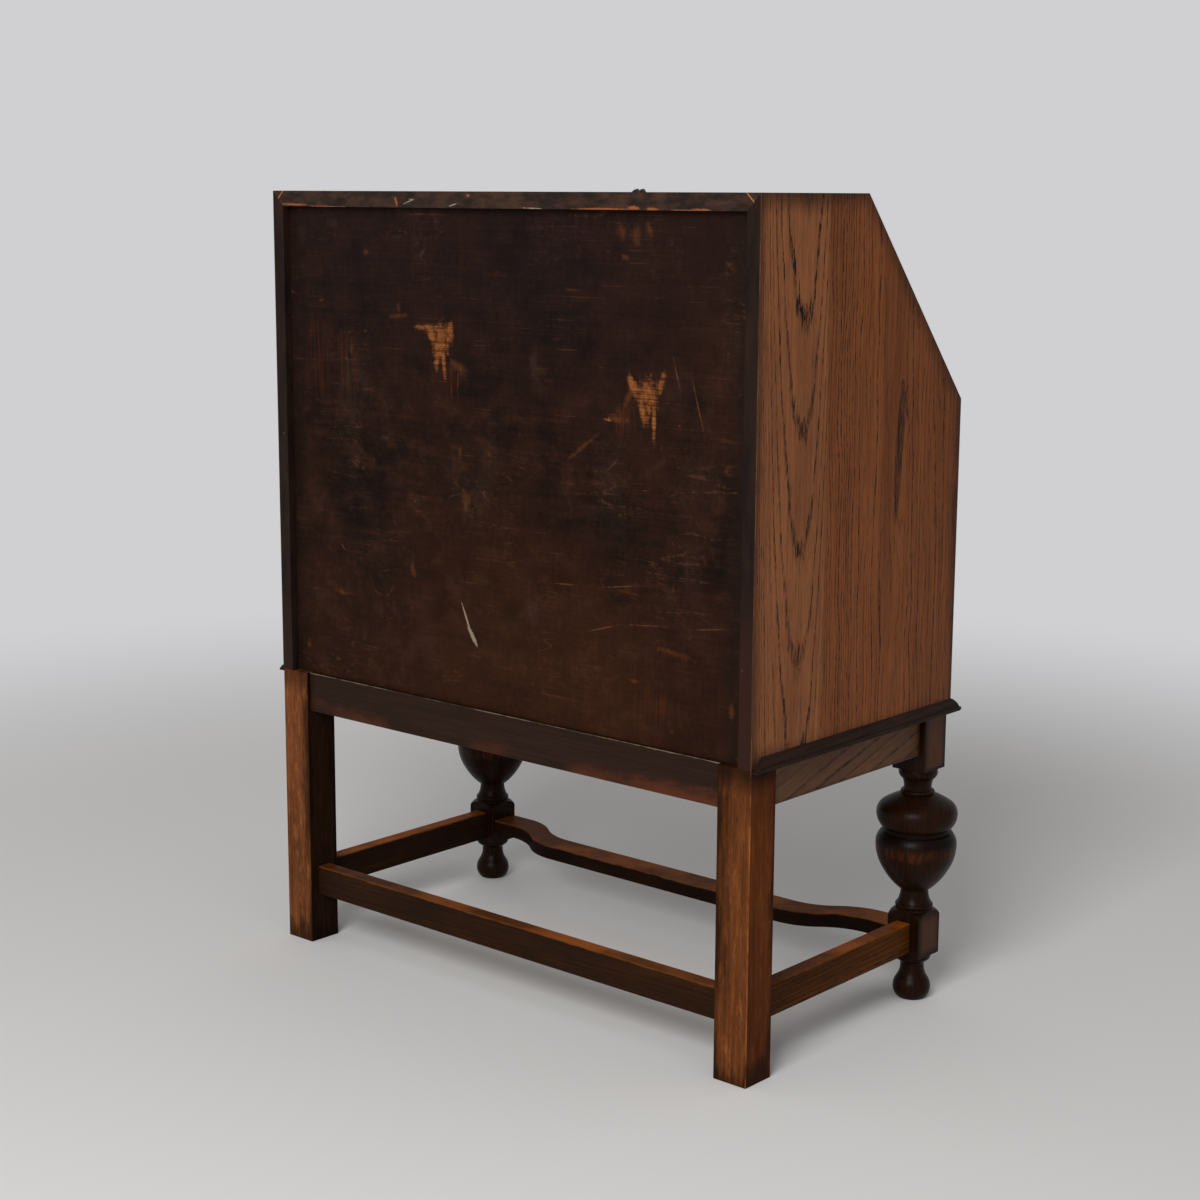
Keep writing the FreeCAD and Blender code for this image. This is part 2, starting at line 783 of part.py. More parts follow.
def rails():
    """Rails under the carcass, tenoned between the legs and set in from their faces."""
    height = (s.stand_height - s.rail_height, s.stand_height)
    between = half_width - s.leg_size
    across = (-between, between)
    back = (at_depth(s.back_rail_inset + s.rail_thick), at_depth(s.back_rail_inset))
    node("back_rail", box("back_rail", across, back, height))
    front_face = leg_axis_depth + s.leg_size / 2 - s.rail_inset
    front = (at_depth(front_face), at_depth(front_face - s.rail_thick))
    node("front_rail", box("front_rail", across, front, height))
    depth = (at_depth(leg_axis_depth - s.leg_size / 2), at_depth(s.leg_size))
    for name, hand in (("left", -1), ("right", 1)):
        outer = half_width - s.rail_inset
        node(f"{name}_rail", box(f"{name}_rail", span(hand, outer - s.rail_thick, outer), depth, height))


def stretchers():
    half_height = s.stretcher_height / 2
    half_thick = s.stretcher_thick / 2
    height = (s.stretcher_middle - half_height, s.stretcher_middle + half_height)
    between = half_width - s.leg_size
    middle = s.leg_size / 2
    depth = (at_depth(middle + half_thick), at_depth(middle - half_thick))
    eased_board("rear_stretcher", (-between, between), depth, height, "x")
    depth = (at_depth(leg_axis_depth - s.leg_size / 2), at_depth(s.leg_size))
    for name, hand in (("left", -1), ("right", 1)):
        width = span(hand, leg_axis_x - half_thick, leg_axis_x + half_thick)
        eased_board(f"{name}_stretcher", width, depth, height, "y")


def front_stretcher():
    """Flat stretcher that leaves the legs straight and sweeps back in an ogee to its middle run."""
    body = new_body("front_stretcher")
    half = s.front_stretcher_width / 2
    end_x = half_width - s.leg_size
    start_x = end_x - s.sweep_start
    stop_x = start_x - s.sweep_length
    turn_x = (start_x + stop_x) / 2
    radius = (s.sweep_length * s.sweep_length + s.sweep_depth * s.sweep_depth) / (4 * s.sweep_depth)
    stations = [
        (-end_x, 0), (-start_x, 0), (-turn_x, s.sweep_depth / 2), (-stop_x, s.sweep_depth),
        (stop_x, s.sweep_depth), (turn_x, s.sweep_depth / 2), (start_x, 0), (end_x, 0),
    ]
    turns = [0, 1, -1, 0, -1, 1, 0]
    path = []
    for index, (x, back) in enumerate(stations):
        path.append((x, back - half))
        if index < len(turns) and turns[index]:
            path.append(Bend(turns[index], radius=radius))
    for index, (x, back) in reversed(list(enumerate(stations))):
        path.append((x, back + half))
        if index > 0 and turns[index - 1]:
            path.append(Bend(-turns[index - 1], radius=radius))
    plan = outline(body, "XY_Plane", path, "front_stretcher_plan")
    pad(body, plan, s.front_stretcher_thick)
    place(body, 0, at_depth(leg_axis_depth), s.stretcher_middle - s.front_stretcher_thick / 2)
    return node("front_stretcher", body)


# Fall, its hinges and its lock

def fall_panel():
    """Writing flap, cut on its inner face for the hinges and the lock."""
    body = new_body("fall_panel")
    half = inner_x - s.fall_gap
    blank = outline(body, "XY_Plane", rectangle((-half, half), (s.hinge_gap, fall_end)), "fall_blank")
    pad(body, blank, s.fall_thick)
    room = s.knuckle_radius + s.knuckle_room
    reach = s.hinge_width / 2
    for name, hand in (("left", -1), ("right", 1)):
        middle = hand * s.hinge_spread
        leaf = rectangle((middle - reach, middle + reach), (s.hinge_gap, s.hinge_leaf))
        pocket(body, outline(body, "XY_Plane", leaf, f"fall_{name}_recess"), s.hinge_leaf_thick, reverse=True)
        side_room = reach + s.knuckle_gap
        notch = rectangle((middle - side_room, middle + side_room), (s.hinge_gap, room))
        pocket(body, outline(body, "XY_Plane", notch, f"fall_{name}_notch"), room, reverse=True)
    lock = rectangle((-s.lock_width / 2, s.lock_width / 2), (fall_end - s.lock_height, fall_end))
    pocket(body, outline(body, "XY_Plane", lock, "fall_lock_pocket"), s.lock_depth, reverse=True)
    hole = ring_outline(body, "XY_Plane", [(0, key_level, s.key_radius + s.key_clearance)], "fall_keyhole")
    pocket(body, hole, s.fall_thick, reverse=True)
    place_on_fall(body)
    return node("fall_panel", body)


def hinge_spans(hand):
    """X ranges of the whole hinge, of its two outer knuckles and of its middle knuckle."""
    middle = hand * s.hinge_spread
    low = middle - s.hinge_width / 2
    high = middle + s.hinge_width / 2
    knuckle = (s.hinge_width - 2 * s.knuckle_gap) / 3
    outer = [(low, low + knuckle), (high - knuckle, high)]
    return (low, high), outer, (middle - knuckle / 2, middle + knuckle / 2)


def hinges():
    """Butt hinges: outer knuckles on the bed, the middle one on the fall, a pin through the three."""
    axis_y = at_depth(hinge_depth)
    clear = s.knuckle_radius + s.knuckle_gap
    bed_leaves = []
    fall_leaves = []
    pins = []
    for name, hand in (("left", -1), ("right", 1)):
        whole, outer, inner = hinge_spans(hand)
        flat = (bed_top - s.hinge_leaf_thick, bed_top)
        pieces = [box(f"{name}_bed_leaf_plate", whole, (axis_y + clear, axis_y + s.hinge_leaf), flat)]
        for index, reach in enumerate(outer):
            pieces.append(box(f"{name}_bed_tongue_{index}", reach, (axis_y, axis_y + clear), flat))
            knuckle = f"{name}_bed_knuckle_{index}"
            pieces.append(rod_along_x(knuckle, s.knuckle_radius, reach, axis_y, bed_top))
        bore = rod_along_x(f"{name}_bed_bore", s.pin_radius, whole, axis_y, bed_top)
        bed_leaves.append(cut(f"{name}_bed_leaf", fuse(f"{name}_bed_leaf_blank", pieces), bore))
        thick = (0, s.hinge_leaf_thick)
        pieces = [
            box_on_fall(f"{name}_fall_leaf_plate", whole, (clear, s.hinge_leaf), thick),
            box_on_fall(f"{name}_fall_tongue", inner, (0, clear), thick),
            rod_along_x(f"{name}_fall_knuckle", s.knuckle_radius, inner, axis_y, bed_top),
        ]
        bore = rod_along_x(f"{name}_fall_bore", s.pin_radius + s.pin_clearance, whole, axis_y, bed_top)
        fall_leaves.append(cut(f"{name}_fall_leaf", fuse(f"{name}_fall_leaf_blank", pieces), bore))
        pins.append(rod_along_x(f"{name}_hinge_pin", s.pin_radius, whole, axis_y, bed_top))
    group("bed_hinge_leaves", bed_leaves)
    group("fall_hinge_leaves", fall_leaves)
    group("hinge_pins", pins)


def lock_case():
    """Hollow lock let into the fall, open at the top for its bolt and in front for the key."""
    half = s.lock_width / 2
    low = fall_end - s.lock_height
    wall = s.lock_wall
    shell = box_on_fall("lock_shell", (-half, half), (low, fall_end), (0, s.lock_depth))
    inside = (wall - half, half - wall)
    cavity = box_on_fall("lock_cavity", inside, (low + wall, fall_end - wall), (wall, s.lock_depth - wall))
    slot = box_on_fall("lock_slot", *bolt_room(fall_end - 2 * wall, fall_end + wall))
    hole = doc.addObject("Part::Cylinder", "lock_keyhole")
    bind(hole, "Radius", s.key_radius + s.key_clearance)
    bind(hole, "Height", 3 * wall)
    place_on_fall(hole, 0, key_level, s.lock_depth - 2 * wall)
    return node("lock_case", cut("lock_case", shell, fuse("lock_cuts", [cavity, slot, hole])))


def lock_bolt():
    half = s.bolt_width / 2
    middle = s.lock_depth / 2
    length = (key_level + s.key_bit_length / 2, fall_end - s.bolt_gap)
    thick = (middle - s.bolt_thick / 2, middle + s.bolt_thick / 2)
    return node("lock_bolt", box_on_fall("lock_bolt", (-half, half), length, thick))


def key():
    """Key with a collared shank, a flag bit inside the lock and a two-lobed bow outside."""
    body = new_body("key")
    tip = s.lock_wall + s.bolt_gap
    bow_level = s.fall_thick + s.key_reach - s.key_bow_radius
    collar_top = bow_level - s.key_bow_radius
    collar_low = collar_top - s.key_radius
    shank = [
        (0, tip), (s.key_radius, tip), (s.key_radius, collar_low), (s.key_collar_radius, collar_low),
        (s.key_collar_radius, collar_top),
        (s.key_radius, collar_top), (s.key_radius, bow_level), (0, bow_level),
    ]
    spin(body, outline(body, "XZ_Plane", shank, "key_shank"), "Z_Axis")
    for name, hand in (("left", -1), ("right", 1)):
        middle = hand * s.key_bow_spread
        lobe = [(middle, bow_level, s.key_bow_radius), (middle, bow_level, s.key_bow_hole)]
        pad(body, ring_outline(body, "XZ_Plane", lobe, f"key_{name}_lobe"), s.key_bow_thick, both_ways=True)
    flag = rectangle((0, s.key_bit_length), (tip, s.lock_depth - tip))
    pad(body, outline(body, "XZ_Plane", flag, "key_bit"), s.key_radius, both_ways=True)
    place_on_fall(body, 0, key_level, as_size(0))
    return node("key", body)


def escutcheon():
    body = new_body("escutcheon")
    half = s.escutcheon_width / 2
    straight = s.escutcheon_height / 2 - half
    plate = [(half, -straight), (half, straight), Bend(1, BEADED), (-half, straight), (-half, -straight),
             Bend(1, BEADED)]
    pad(body, outline(body, "XY_Plane", plate, "escutcheon_plate"), s.escutcheon_thick)
    hole = s.key_radius + s.key_clearance
    eye = ring_outline(body, "XY_Plane", [(0, 0, hole)], "escutcheon_eye")
    pocket(body, eye, s.escutcheon_thick, reverse=True)
    slot = rectangle((-s.key_radius / 2, s.key_radius / 2), (-hole - s.key_bit_length / 2, 0))
    pocket(body, outline(body, "XY_Plane", slot, "escutcheon_slot"), s.escutcheon_thick, reverse=True)
    place_on_fall(body, 0, key_level, s.fall_thick)
    return node("escutcheon", body)


# Lopers

def loper(name, hand):
    """Slide beside each guide, with a turned knob on its front end."""
    width = span(hand, guide_x + s.loper_gap, inner_x - s.loper_gap)
    depth = (at_depth(s.carcass_depth), at_depth(panel_front + s.loper_back_clearance))
    eased_board(f"{name}_loper", width, depth, (frieze_low + s.loper_gap, bed_low - s.loper_gap), "y")
    label = f"{name}_loper_knob"
    body = new_body(label)
    stem = s.knob_radius / 2
    profile = [
        (0, 0), (0, -s.knob_reach), Bend(1, ROUNDED), (s.knob_radius, -(s.knob_stem + s.knob_reach) / 2),
        Bend(1, ROUNDED), (stem, -s.knob_stem), (stem, 0),
    ]
    spin(body, outline(body, "XY_Plane", profile, f"{label}_profile"), "Y_Axis")
    place(body, (width[0] + width[1]) / 2, at_depth(s.carcass_depth), (frieze_low + bed_low) / 2)
    return node(label, body)


# Drawers

def drawer(name, low):
    """Drawer with a lapped front, grooved sides and a bottom that runs under the back."""
    half = inner_x - s.drawer_gap
    inside = half - s.drawer_side_thick
    bottom = low + s.drawer_gap / 2
    top = low + drawer_space - s.drawer_gap
    face = at_depth(s.carcass_depth - s.drawer_setback)
    lap = face + s.drawer_front_thick - s.drawer_lap
    behind = face + s.drawer_front_thick
    end = at_depth(panel_front + s.drawer_back_clearance)
    panel = (bottom + s.drawer_bottom_lift, bottom + s.drawer_bottom_lift + s.drawer_bottom_thick)
    label = f"{name}_drawer"
    blank = box(f"{label}_front_blank", (-half, half), (face, behind), (bottom, top))
    cuts = [box(f"{label}_front_groove", (-half, half), (behind - s.drawer_groove, behind), panel)]
    sides = []
    for hand_name, hand in (("left", -1), ("right", 1)):
        width = span(hand, inside, half)
        cuts.append(box(f"{label}_{hand_name}_rebate", width, (lap, behind), (bottom, top)))
        plank = box(f"{label}_{hand_name}_plank", width, (lap, end), (bottom, top))
        slot_width = span(hand, inside, inside + s.drawer_groove)
        slot = box(f"{label}_{hand_name}_slot", slot_width, (lap, end), panel)
        sides.append(cut(f"{label}_{hand_name}_side", plank, slot))
    node(f"{label}_front", cut(f"{label}_front", blank, fuse(f"{label}_front_cuts", cuts)))
    group(f"{label}_sides", sides)
    rear = (end - s.drawer_back_thick, end)
    node(f"{label}_back", box(f"{label}_back", (-inside, inside), rear, (panel[1], top - s.drawer_back_drop)))
    reach = inside + s.drawer_groove
    node(f"{label}_bottom", box(f"{label}_bottom", (-reach, reach), (behind - s.drawer_groove, end), panel))
    handles(name, face, (bottom + top) / 2 + s.handle_lift)


def handles(name, face, level):
    """Round plates with a fork, and pear drops that swing on the pin of the fork."""
    pivot = face - s.drop_stand_off
    plates = []
    for hand_name, hand in (("left", -1), ("right", 1)):
        middle = hand * s.handle_spread
        label = f"{name}_{hand_name}"
        plate = new_body(f"{label}_disc")
        rim = s.plate_thick / 2
        profile = [
            (0, 0), (0, -s.plate_thick), (s.plate_radius / 2, -s.plate_thick), Bend(1, SHALLOW),
            (s.plate_radius, -rim), (s.plate_radius, 0),
        ]
        spin(plate, outline(plate, "XY_Plane", profile, f"{label}_disc_profile"), "Y_Axis")
        place(plate, middle, face, level)
        pieces = [plate]
        inner = s.eye_thick / 2 + s.eye_gap
        for cheek_name, cheek_hand in (("near", -1), ("far", 1)):
            low, high = span(cheek_hand, inner, inner + s.fork_cheek)
            depth = (pivot - s.eye_radius, face - rim)
            height = (level - s.eye_radius, level + s.eye_radius)
            pieces.append(box(f"{label}_{cheek_name}_cheek", (middle + low, middle + high), depth, height))
        outer = inner + s.fork_cheek
        reach = (middle - outer, middle + outer)
        pieces.append(rod_along_x(f"{label}_drop_pin", s.drop_pin_radius, reach, pivot, level))
        plates.append(fuse(f"{label}_plate", pieces))
        pear_drop(label, middle, pivot, level)
    group(f"{name}_handle_plates", plates)


def pear_drop(label, x, y, z):
    body = new_body(f"{label}_drop")
    eye = [(0, 0, s.eye_radius), (0, 0, s.drop_pin_radius + s.pin_clearance)]
    pad(body, ring_outline(body, "YZ_Plane", eye, f"{label}_drop_eye"), s.eye_thick, both_ways=True)
    start = -(s.eye_radius + s.drop_pin_radius) / 2
    swell = -s.drop_length + s.drop_radius
    profile = [
        (0, start), (0, -s.drop_length), (s.drop_neck_radius, -s.drop_length),
        Bend(1, ROUNDED), (s.drop_radius, swell), Bend(1, SHALLOW),
        (s.drop_neck_radius, -2 * s.eye_radius), (s.drop_neck_radius, start),
    ]
    spin(body, outline(body, "XZ_Plane", profile, f"{label}_drop_pear"), "Z_Axis")
    place(body, x, y, z)
    return node(f"{label}_drop", body)


for_each_hand(side)
top_board()
strike_plate()
back_panel()
inner_boards()
writing_bed()
stationery_rack()
fall_stops()
for_each_hand(side_moulding)
front_moulding()
for_each_hand(rear_leg)
for_each_hand(front_leg)
rails()
stretchers()
front_stretcher()
fall_panel()
hinges()
lock_case()
lock_bolt()
key()
escutcheon()
for_each_hand(loper)
drawer("upper", middle_blade_low + s.blade_thick)
drawer("lower", floor_top)

doc.recompute()

for thing in doc.Objects:
    if "Invalid" in thing.State or "Error" in thing.State:
        raise ValueError(f"{thing.Label} did not build")
    if thing.TypeId in ("PartDesign::Pocket", "PartDesign::Groove"):
        if thing.Shape.Volume >= thing.BaseFeature.Shape.Volume:
            raise ValueError(f"{thing.Label} takes nothing away")

os.makedirs("parts", exist_ok=True)
for thing in nodes:
    if thing.Shape.isNull() or not thing.Shape.isValid():
        raise ValueError(f"{thing.Label} is not a sound solid")
    thing.Shape.exportStep(f"parts/{thing.Label}.step")
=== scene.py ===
"""Looks of a fall-front writing bureau: finishes, small fastenings, stage, light and camera."""
import json
import math
from dataclasses import dataclass

import bmesh
import bpy
from mathutils import Matrix, Vector


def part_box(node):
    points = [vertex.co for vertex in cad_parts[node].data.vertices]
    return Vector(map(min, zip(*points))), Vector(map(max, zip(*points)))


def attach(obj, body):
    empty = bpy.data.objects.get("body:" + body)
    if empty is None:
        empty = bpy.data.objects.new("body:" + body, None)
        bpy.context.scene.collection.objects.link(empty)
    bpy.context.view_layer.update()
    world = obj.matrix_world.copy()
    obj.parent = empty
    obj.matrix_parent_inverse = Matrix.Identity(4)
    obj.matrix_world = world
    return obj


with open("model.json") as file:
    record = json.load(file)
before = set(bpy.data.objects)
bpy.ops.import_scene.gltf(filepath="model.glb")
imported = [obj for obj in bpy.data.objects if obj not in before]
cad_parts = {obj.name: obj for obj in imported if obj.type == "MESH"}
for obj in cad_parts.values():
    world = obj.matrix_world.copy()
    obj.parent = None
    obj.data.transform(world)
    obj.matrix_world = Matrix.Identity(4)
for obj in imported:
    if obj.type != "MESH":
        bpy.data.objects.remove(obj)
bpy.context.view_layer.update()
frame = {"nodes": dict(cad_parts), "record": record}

X, Y, Z = Vector((1, 0, 0)), Vector((0, 1, 0)), Vector((0, 0, 1))

# Places that several finishes share, read from the frame in metres
back_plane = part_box("left_side")[1].y
panel_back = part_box("back_panel")[1].y

# Between these two places along Y a finish turns into that of the rear edges
REAR_EDGE = (back_plane - 0.0007, back_plane - 0.0001)

# Millimetres in a metre
MM = 1000

# How far edges are eased in shading, in metres
EASED_EDGE = 0.0009

# What one unit of a seed adds to the places that a noise reads
SEED_SHIFT = Vector((3.7, 5.3, 7.1))

# Points closer to a plane than this count as lying on it, in metres
NEAR = 0.001


def paint(red, green, blue):
    """An sRGB colour from 0 to 255 as the linear colour that shaders take."""
    shares = [value / 255 for value in (red, green, blue)]
    linear = [s / 12.92 if s <= 0.04045 else ((s + 0.055) / 1.055) ** 2.4 for s in shares]
    return (*linear, 1.0)


class Field:
    """A shader value that varies over the surface and takes part in plain arithmetic."""

    def __init__(self, finish, socket):
        self.finish = finish
        self.socket = socket

    def __add__(self, other):
        return self.finish.math("ADD", self, other)

    def __sub__(self, other):
        return self.finish.math("SUBTRACT", self, other)

    def __rsub__(self, other):
        return self.finish.math("SUBTRACT", other, self)

    def __mul__(self, other):
        return self.finish.math("MULTIPLY", self, other)

    def __truediv__(self, other):
        return self.finish.math("DIVIDE", self, other)

    __radd__ = __add__
    __rmul__ = __mul__

    def times_plus(self, factor, extra):
        return self.finish.math("MULTIPLY_ADD", self, factor, extra)

    def low(self, other):
        return self.finish.math("MINIMUM", self, other)

    def high(self, other):
        return self.finish.math("MAXIMUM", self, other)

    def root(self):
        return self.finish.math("SQRT", self)

    def size(self):
        return self.finish.math("ABSOLUTE", self)

    def whole(self):
        return self.finish.math("FLOOR", self)

    def part(self):
        return self.finish.math("FRACT", self)

    def swing(self, amount):
        """A noise as a change to either side, by half the amount at most."""
        return (self - 0.5) * amount

    def rise(self, start, end):
        """Smooth step from 0 at start to 1 at end."""
        return self.finish.step(self, start, end, 0, 1)

    def fall(self, start, end):
        """Smooth step from 1 at start to 0 at end."""
        return self.finish.step(self, start, end, 1, 0)


class Nodes:
    """An emptied node tree, with short ways to add nodes and to feed their inputs."""

    def __init__(self, owner):
        owner.use_nodes = True
        self.tree = owner.node_tree
        self.tree.nodes.clear()

    def add(self, kind, **settings):
        node = self.tree.nodes.new(kind)
        for key, value in settings.items():
            setattr(node, key, value)
        return node

    def feed(self, entry, value):
        if isinstance(value, Field):
            value = value.socket
        if isinstance(value, bpy.types.NodeSocket):
            self.tree.links.new(value, entry)
        else:
            entry.default_value = value

    def math(self, kind, *values):
        node = self.add("ShaderNodeMath", operation=kind)
        for entry, value in zip(node.inputs, values):
            self.feed(entry, value)
        return Field(self, node.outputs[0])

    def blend(self, amount, first, second):
        """Shader that goes from first to second with amount."""
        node = self.add("ShaderNodeMixShader")
        for entry, value in zip(node.inputs, (amount, first.outputs[0], second.outputs[0])):
            self.feed(entry, value)
        return node.outputs[0]


class Finish(Nodes):
    """One material, drawn from the place of each point in the row frame, in metres."""

    def __init__(self, name, seed=0.0):
        self.material = bpy.data.materials.new(name)
        super().__init__(self.material)
        self.color = None
        source = self.add("ShaderNodeTexCoord")
        self.place = source.outputs["Object"]
        parts = self.add("ShaderNodeSeparateXYZ")
        self.feed(parts.inputs[0], self.place)
        self.x, self.y, self.z = (Field(self, socket) for socket in parts.outputs)
        facing = self.add("ShaderNodeSeparateXYZ")
        self.feed(facing.inputs[0], source.outputs["Normal"])
        self.face_x, self.face_y, self.face_z = (Field(self, socket) for socket in facing.outputs)
        self.shift = SEED_SHIFT * seed

    def step(self, value, start, end, first, last):
        node = self.add("ShaderNodeMapRange", interpolation_type="SMOOTHSTEP")
        for entry, amount in zip(node.inputs, (value, start, end, first, last)):
            self.feed(entry, amount)
        return Field(self, node.outputs[0])

    def along(self, direction):
        """Distance along a direction from the row's origin."""
        node = self.add("ShaderNodeVectorMath", operation="DOT_PRODUCT")
        self.feed(node.inputs[0], self.place)
        self.feed(node.inputs[1], tuple(direction))
        return Field(self, node.outputs["Value"])

    def noise(self, rate, detail=2.0, roughness=0.5, skip=0.0, place=None, swirl=0.0):
        """Noise from 0 to 1 with the given features per metre along each axis."""
        stretch = self.add("ShaderNodeVectorMath", operation="MULTIPLY_ADD")
        self.feed(stretch.inputs[0], place or self.place)
        self.feed(stretch.inputs[1], tuple(rate) if hasattr(rate, "__len__") else (rate, rate, rate))
        self.feed(stretch.inputs[2], tuple(self.shift + Vector((skip, 2 * skip, 3 * skip))))
        node = self.add("ShaderNodeTexNoise", noise_dimensions="3D")
        self.feed(node.inputs["Vector"], stretch.outputs[0])
        self.feed(node.inputs["Scale"], 1.0)
        self.feed(node.inputs["Detail"], detail)
        self.feed(node.inputs["Roughness"], roughness)
        self.feed(node.inputs["Distortion"], swirl)
        return Field(self, node.outputs[0])

    def together(self, *fields):
        """Three fields as one vector."""
        node = self.add("ShaderNodeCombineXYZ")
        for entry, field in zip(node.inputs, fields):
            self.feed(entry, field)
        return node.outputs[0]

    def chance(self, value):
        """A random number from 0 to 1 that is the same wherever value is the same."""
        node = self.add("ShaderNodeTexWhiteNoise", noise_dimensions="1D")
        self.feed(node.inputs["W"], value)
        return Field(self, node.outputs[0])

    def mix(self, amount, first, second):
        """Colour that goes from first to second with amount."""
        node = self.add("ShaderNodeMix", data_type="RGBA", blend_type="MIX")
        factor, first_color, second_color = node.inputs[0], node.inputs[6], node.inputs[7]
        self.feed(factor, amount)
        self.feed(first_color, first)
        self.feed(second_color, second)
        return node.outputs[2]

    def shade(self, color, amount):
        """The colour made lighter or darker by a factor that varies."""
        node = self.add("ShaderNodeVectorMath", operation="SCALE")
        self.feed(node.inputs[0], color)
        self.feed(node.inputs["Scale"], amount)
        return node.outputs[0]

    def lay(self, amount, color):
        """Lays a colour over the finish, as strongly as amount."""
        self.color = self.mix(amount, self.color, color)

    def dim(self, amount):
        """Makes the finish lighter or darker by a factor that varies."""
        self.color = self.shade(self.color, amount)

    def share(self, direction, middle, reach):
        """Distance from a middle along a direction in the XZ plane, as a share of a reach."""
        upward = self.z.times_plus(direction.y / reach, -middle.dot(direction) / reach)
        return self.x.times_plus(direction.x / reach, upward)

    def stroke(self, start, end, thick):
        """Squared distance from a stroke in the XZ plane: 0 on its middle, 1 on its pointed rim."""
        start, end = (Vector([value / MM for value in point]) for point in (start, end))
        run = end - start
        middle = (start + end) / 2
        way = run.normalized()
        along = self.share(way, middle, run.length / 2)
        aside = self.share(Vector((way.y, -way.x)), middle, thick / MM)
        return along.times_plus(along, aside * aside)

    def strokes(self, lines):
        """1 on the middle of the nearest of several strokes, 0 on its rim and negative beyond."""
        nearest = self.stroke(*lines[0])
        for line in lines[1:]:
            nearest = nearest.low(self.stroke(*line))
        return 1.0 - nearest.root()

    def edge(self, low, high):
        """Distance from the nearest edge of a box, on the box's faces."""
        reach = [(place - start).low(end - place)
                 for place, start, end in zip((self.x, self.y, self.z), low, high)]
        return reach[0].low(reach[1]).high(reach[0].high(reach[1]).low(reach[2]))

    def profile_reach(self, node):
        """Distance inside the sloping outline of an end board, seen from its side."""
        low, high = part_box(node)
        points = [corner.co for corner in frame["nodes"][node].data.vertices]
        slope_foot = max(p.z for p in points if p.y < low.y + NEAR)
        slope_head = min(p.y for p in points if p.z > high.z - NEAR)
        rise = Vector((0, slope_head - low.y, high.z - slope_foot)).normalized()
        inward = Vector((0, rise.z, -rise.y))
        from_slope = self.along(inward) - inward.dot(Vector((0, low.y, slope_foot)))
        return from_slope.low(self.y - low.y).low(high.z - self.z).low(self.z - low.z)

    def done(self, roughness, height, relief, shine=0.5, metallic=0.0):
        """Ends the material with eased edges and a bump of the given relief in metres."""
        shader = self.add("ShaderNodeBsdfPrincipled")
        self.feed(shader.inputs["Base Color"], self.color)
        self.feed(shader.inputs["Roughness"], roughness)
        self.feed(shader.inputs["Specular IOR Level"], shine)
        self.feed(shader.inputs["Metallic"], metallic)
        soft = self.add("ShaderNodeBevel", samples=4)
        self.feed(soft.inputs["Radius"], EASED_EDGE)
        bump = self.add("ShaderNodeBump")
        self.feed(bump.inputs["Height"], height)
        self.feed(bump.inputs["Strength"], 1.0)
        self.feed(bump.inputs["Distance"], relief)
        self.feed(bump.inputs["Normal"], soft.outputs[0])
        self.feed(shader.inputs["Normal"], bump.outputs[0])
        out = self.add("ShaderNodeOutputMaterial")
        self.feed(out.inputs["Surface"], shader.outputs[0])
        return self.material


@dataclass
class Cut:
    """How a board was cut from the log: its directions, the log's heart and how the rings run.

    The heart lies across the board and at a depth below its face. A ring has a width, of which the band
    is dark and porous. Rings crowd together away from a middle, wave is how far they wander along the
    board, and jag is how far fibres break the tips of the arches. An eye is a closed figure: its place
    across and along the board, its half width and half length, and its number of rings.
    """
    along: Vector
    across: Vector
    heart: float
    depth: float
    face: float
    taper: float
    ring: float
    uneven: float
    band: float
    seed: float
    phase: float = 0.0
    eyes: tuple = ()
    crowd: float = 0.0
    middle: float = 0.0
    jag: float = 0.012
    wave: float = 0.0


class Stain:
    """Colours of a stained board: pale and deep late wood, pore rows and worn edges."""

    def __init__(self, *colors):
        self.pale, self.deep, self.pore, self.worn = (paint(*color) for color in colors)


# How much the rings of a board differ in darkness
RING_SPREAD = 0.75


def oak_color(finish, cut, stain, contrast):
    """Colour of stained oak with growth rings, open pores and fibres, and the height for its bump."""
    length, width, through = map(finish.along, (cut.along, cut.across, cut.along.cross(cut.across)))
    place = finish.together(length, width, through)

    def grain(along, across, detail, roughness, skip):
        return finish.noise((along, across, across), detail, roughness, cut.seed + skip, place)

    sway = grain(1.3, 30, 2, 0.5, 0).swing(cut.uneven * cut.ring * 4)
    ripple = grain(18, 140, 2, 0.6, 1).swing(0.16 * cut.ring)
    depth = through - cut.face + cut.depth
    offset = width - cut.heart
    fibre_end = length + grain(5, 420, 2, 0.7, 8).swing(2 * cut.jag)
    radius = (offset * offset + depth * depth).root() - fibre_end * cut.taper + sway + ripple
    if cut.wave:
        radius = radius + grain(9, 26, 2, 0.5, 9).swing(2 * cut.wave)
    if cut.crowd:
        from_middle = (width - cut.middle) * (width - cut.middle)
        radius = radius + from_middle * from_middle * cut.crowd
    for eye_width, eye_length, half_width, half_length, rings in cut.eyes:
        aside = (width - eye_width) / half_width
        beyond = (length - eye_length) / half_length
        radius = radius + (aside * aside + beyond * beyond).root().fall(0, 1) * (rings * cut.ring)
    turns = radius / cut.ring + cut.phase
    weight = finish.chance(turns.whole()) * RING_SPREAD + (1 - RING_SPREAD)
    early = turns.part().fall(cut.band * 0.5, cut.band) * weight
    pores = grain(105, 620, 2, 0.6, 2).rise(0.40, 0.58)
    loose = grain(46, 760, 2, 0.6, 3).rise(0.52, 0.70)
    fibre = grain(7, 230, 4, 0.7, 4)
    cloud = grain(2.5, 12, 3, 0.55, 5)
    wood = finish.mix((fibre * 0.6 + cloud * 0.4).rise(0.36, 0.64), stain.deep, stain.pale)
    dark = (early * (pores * 0.8 + 0.2) + loose * 0.36) * contrast
    height = fibre * 0.2 - early * pores * 0.6 - loose * 0.3
    return finish.mix(dark.low(1.0), wood, stain.pore), height


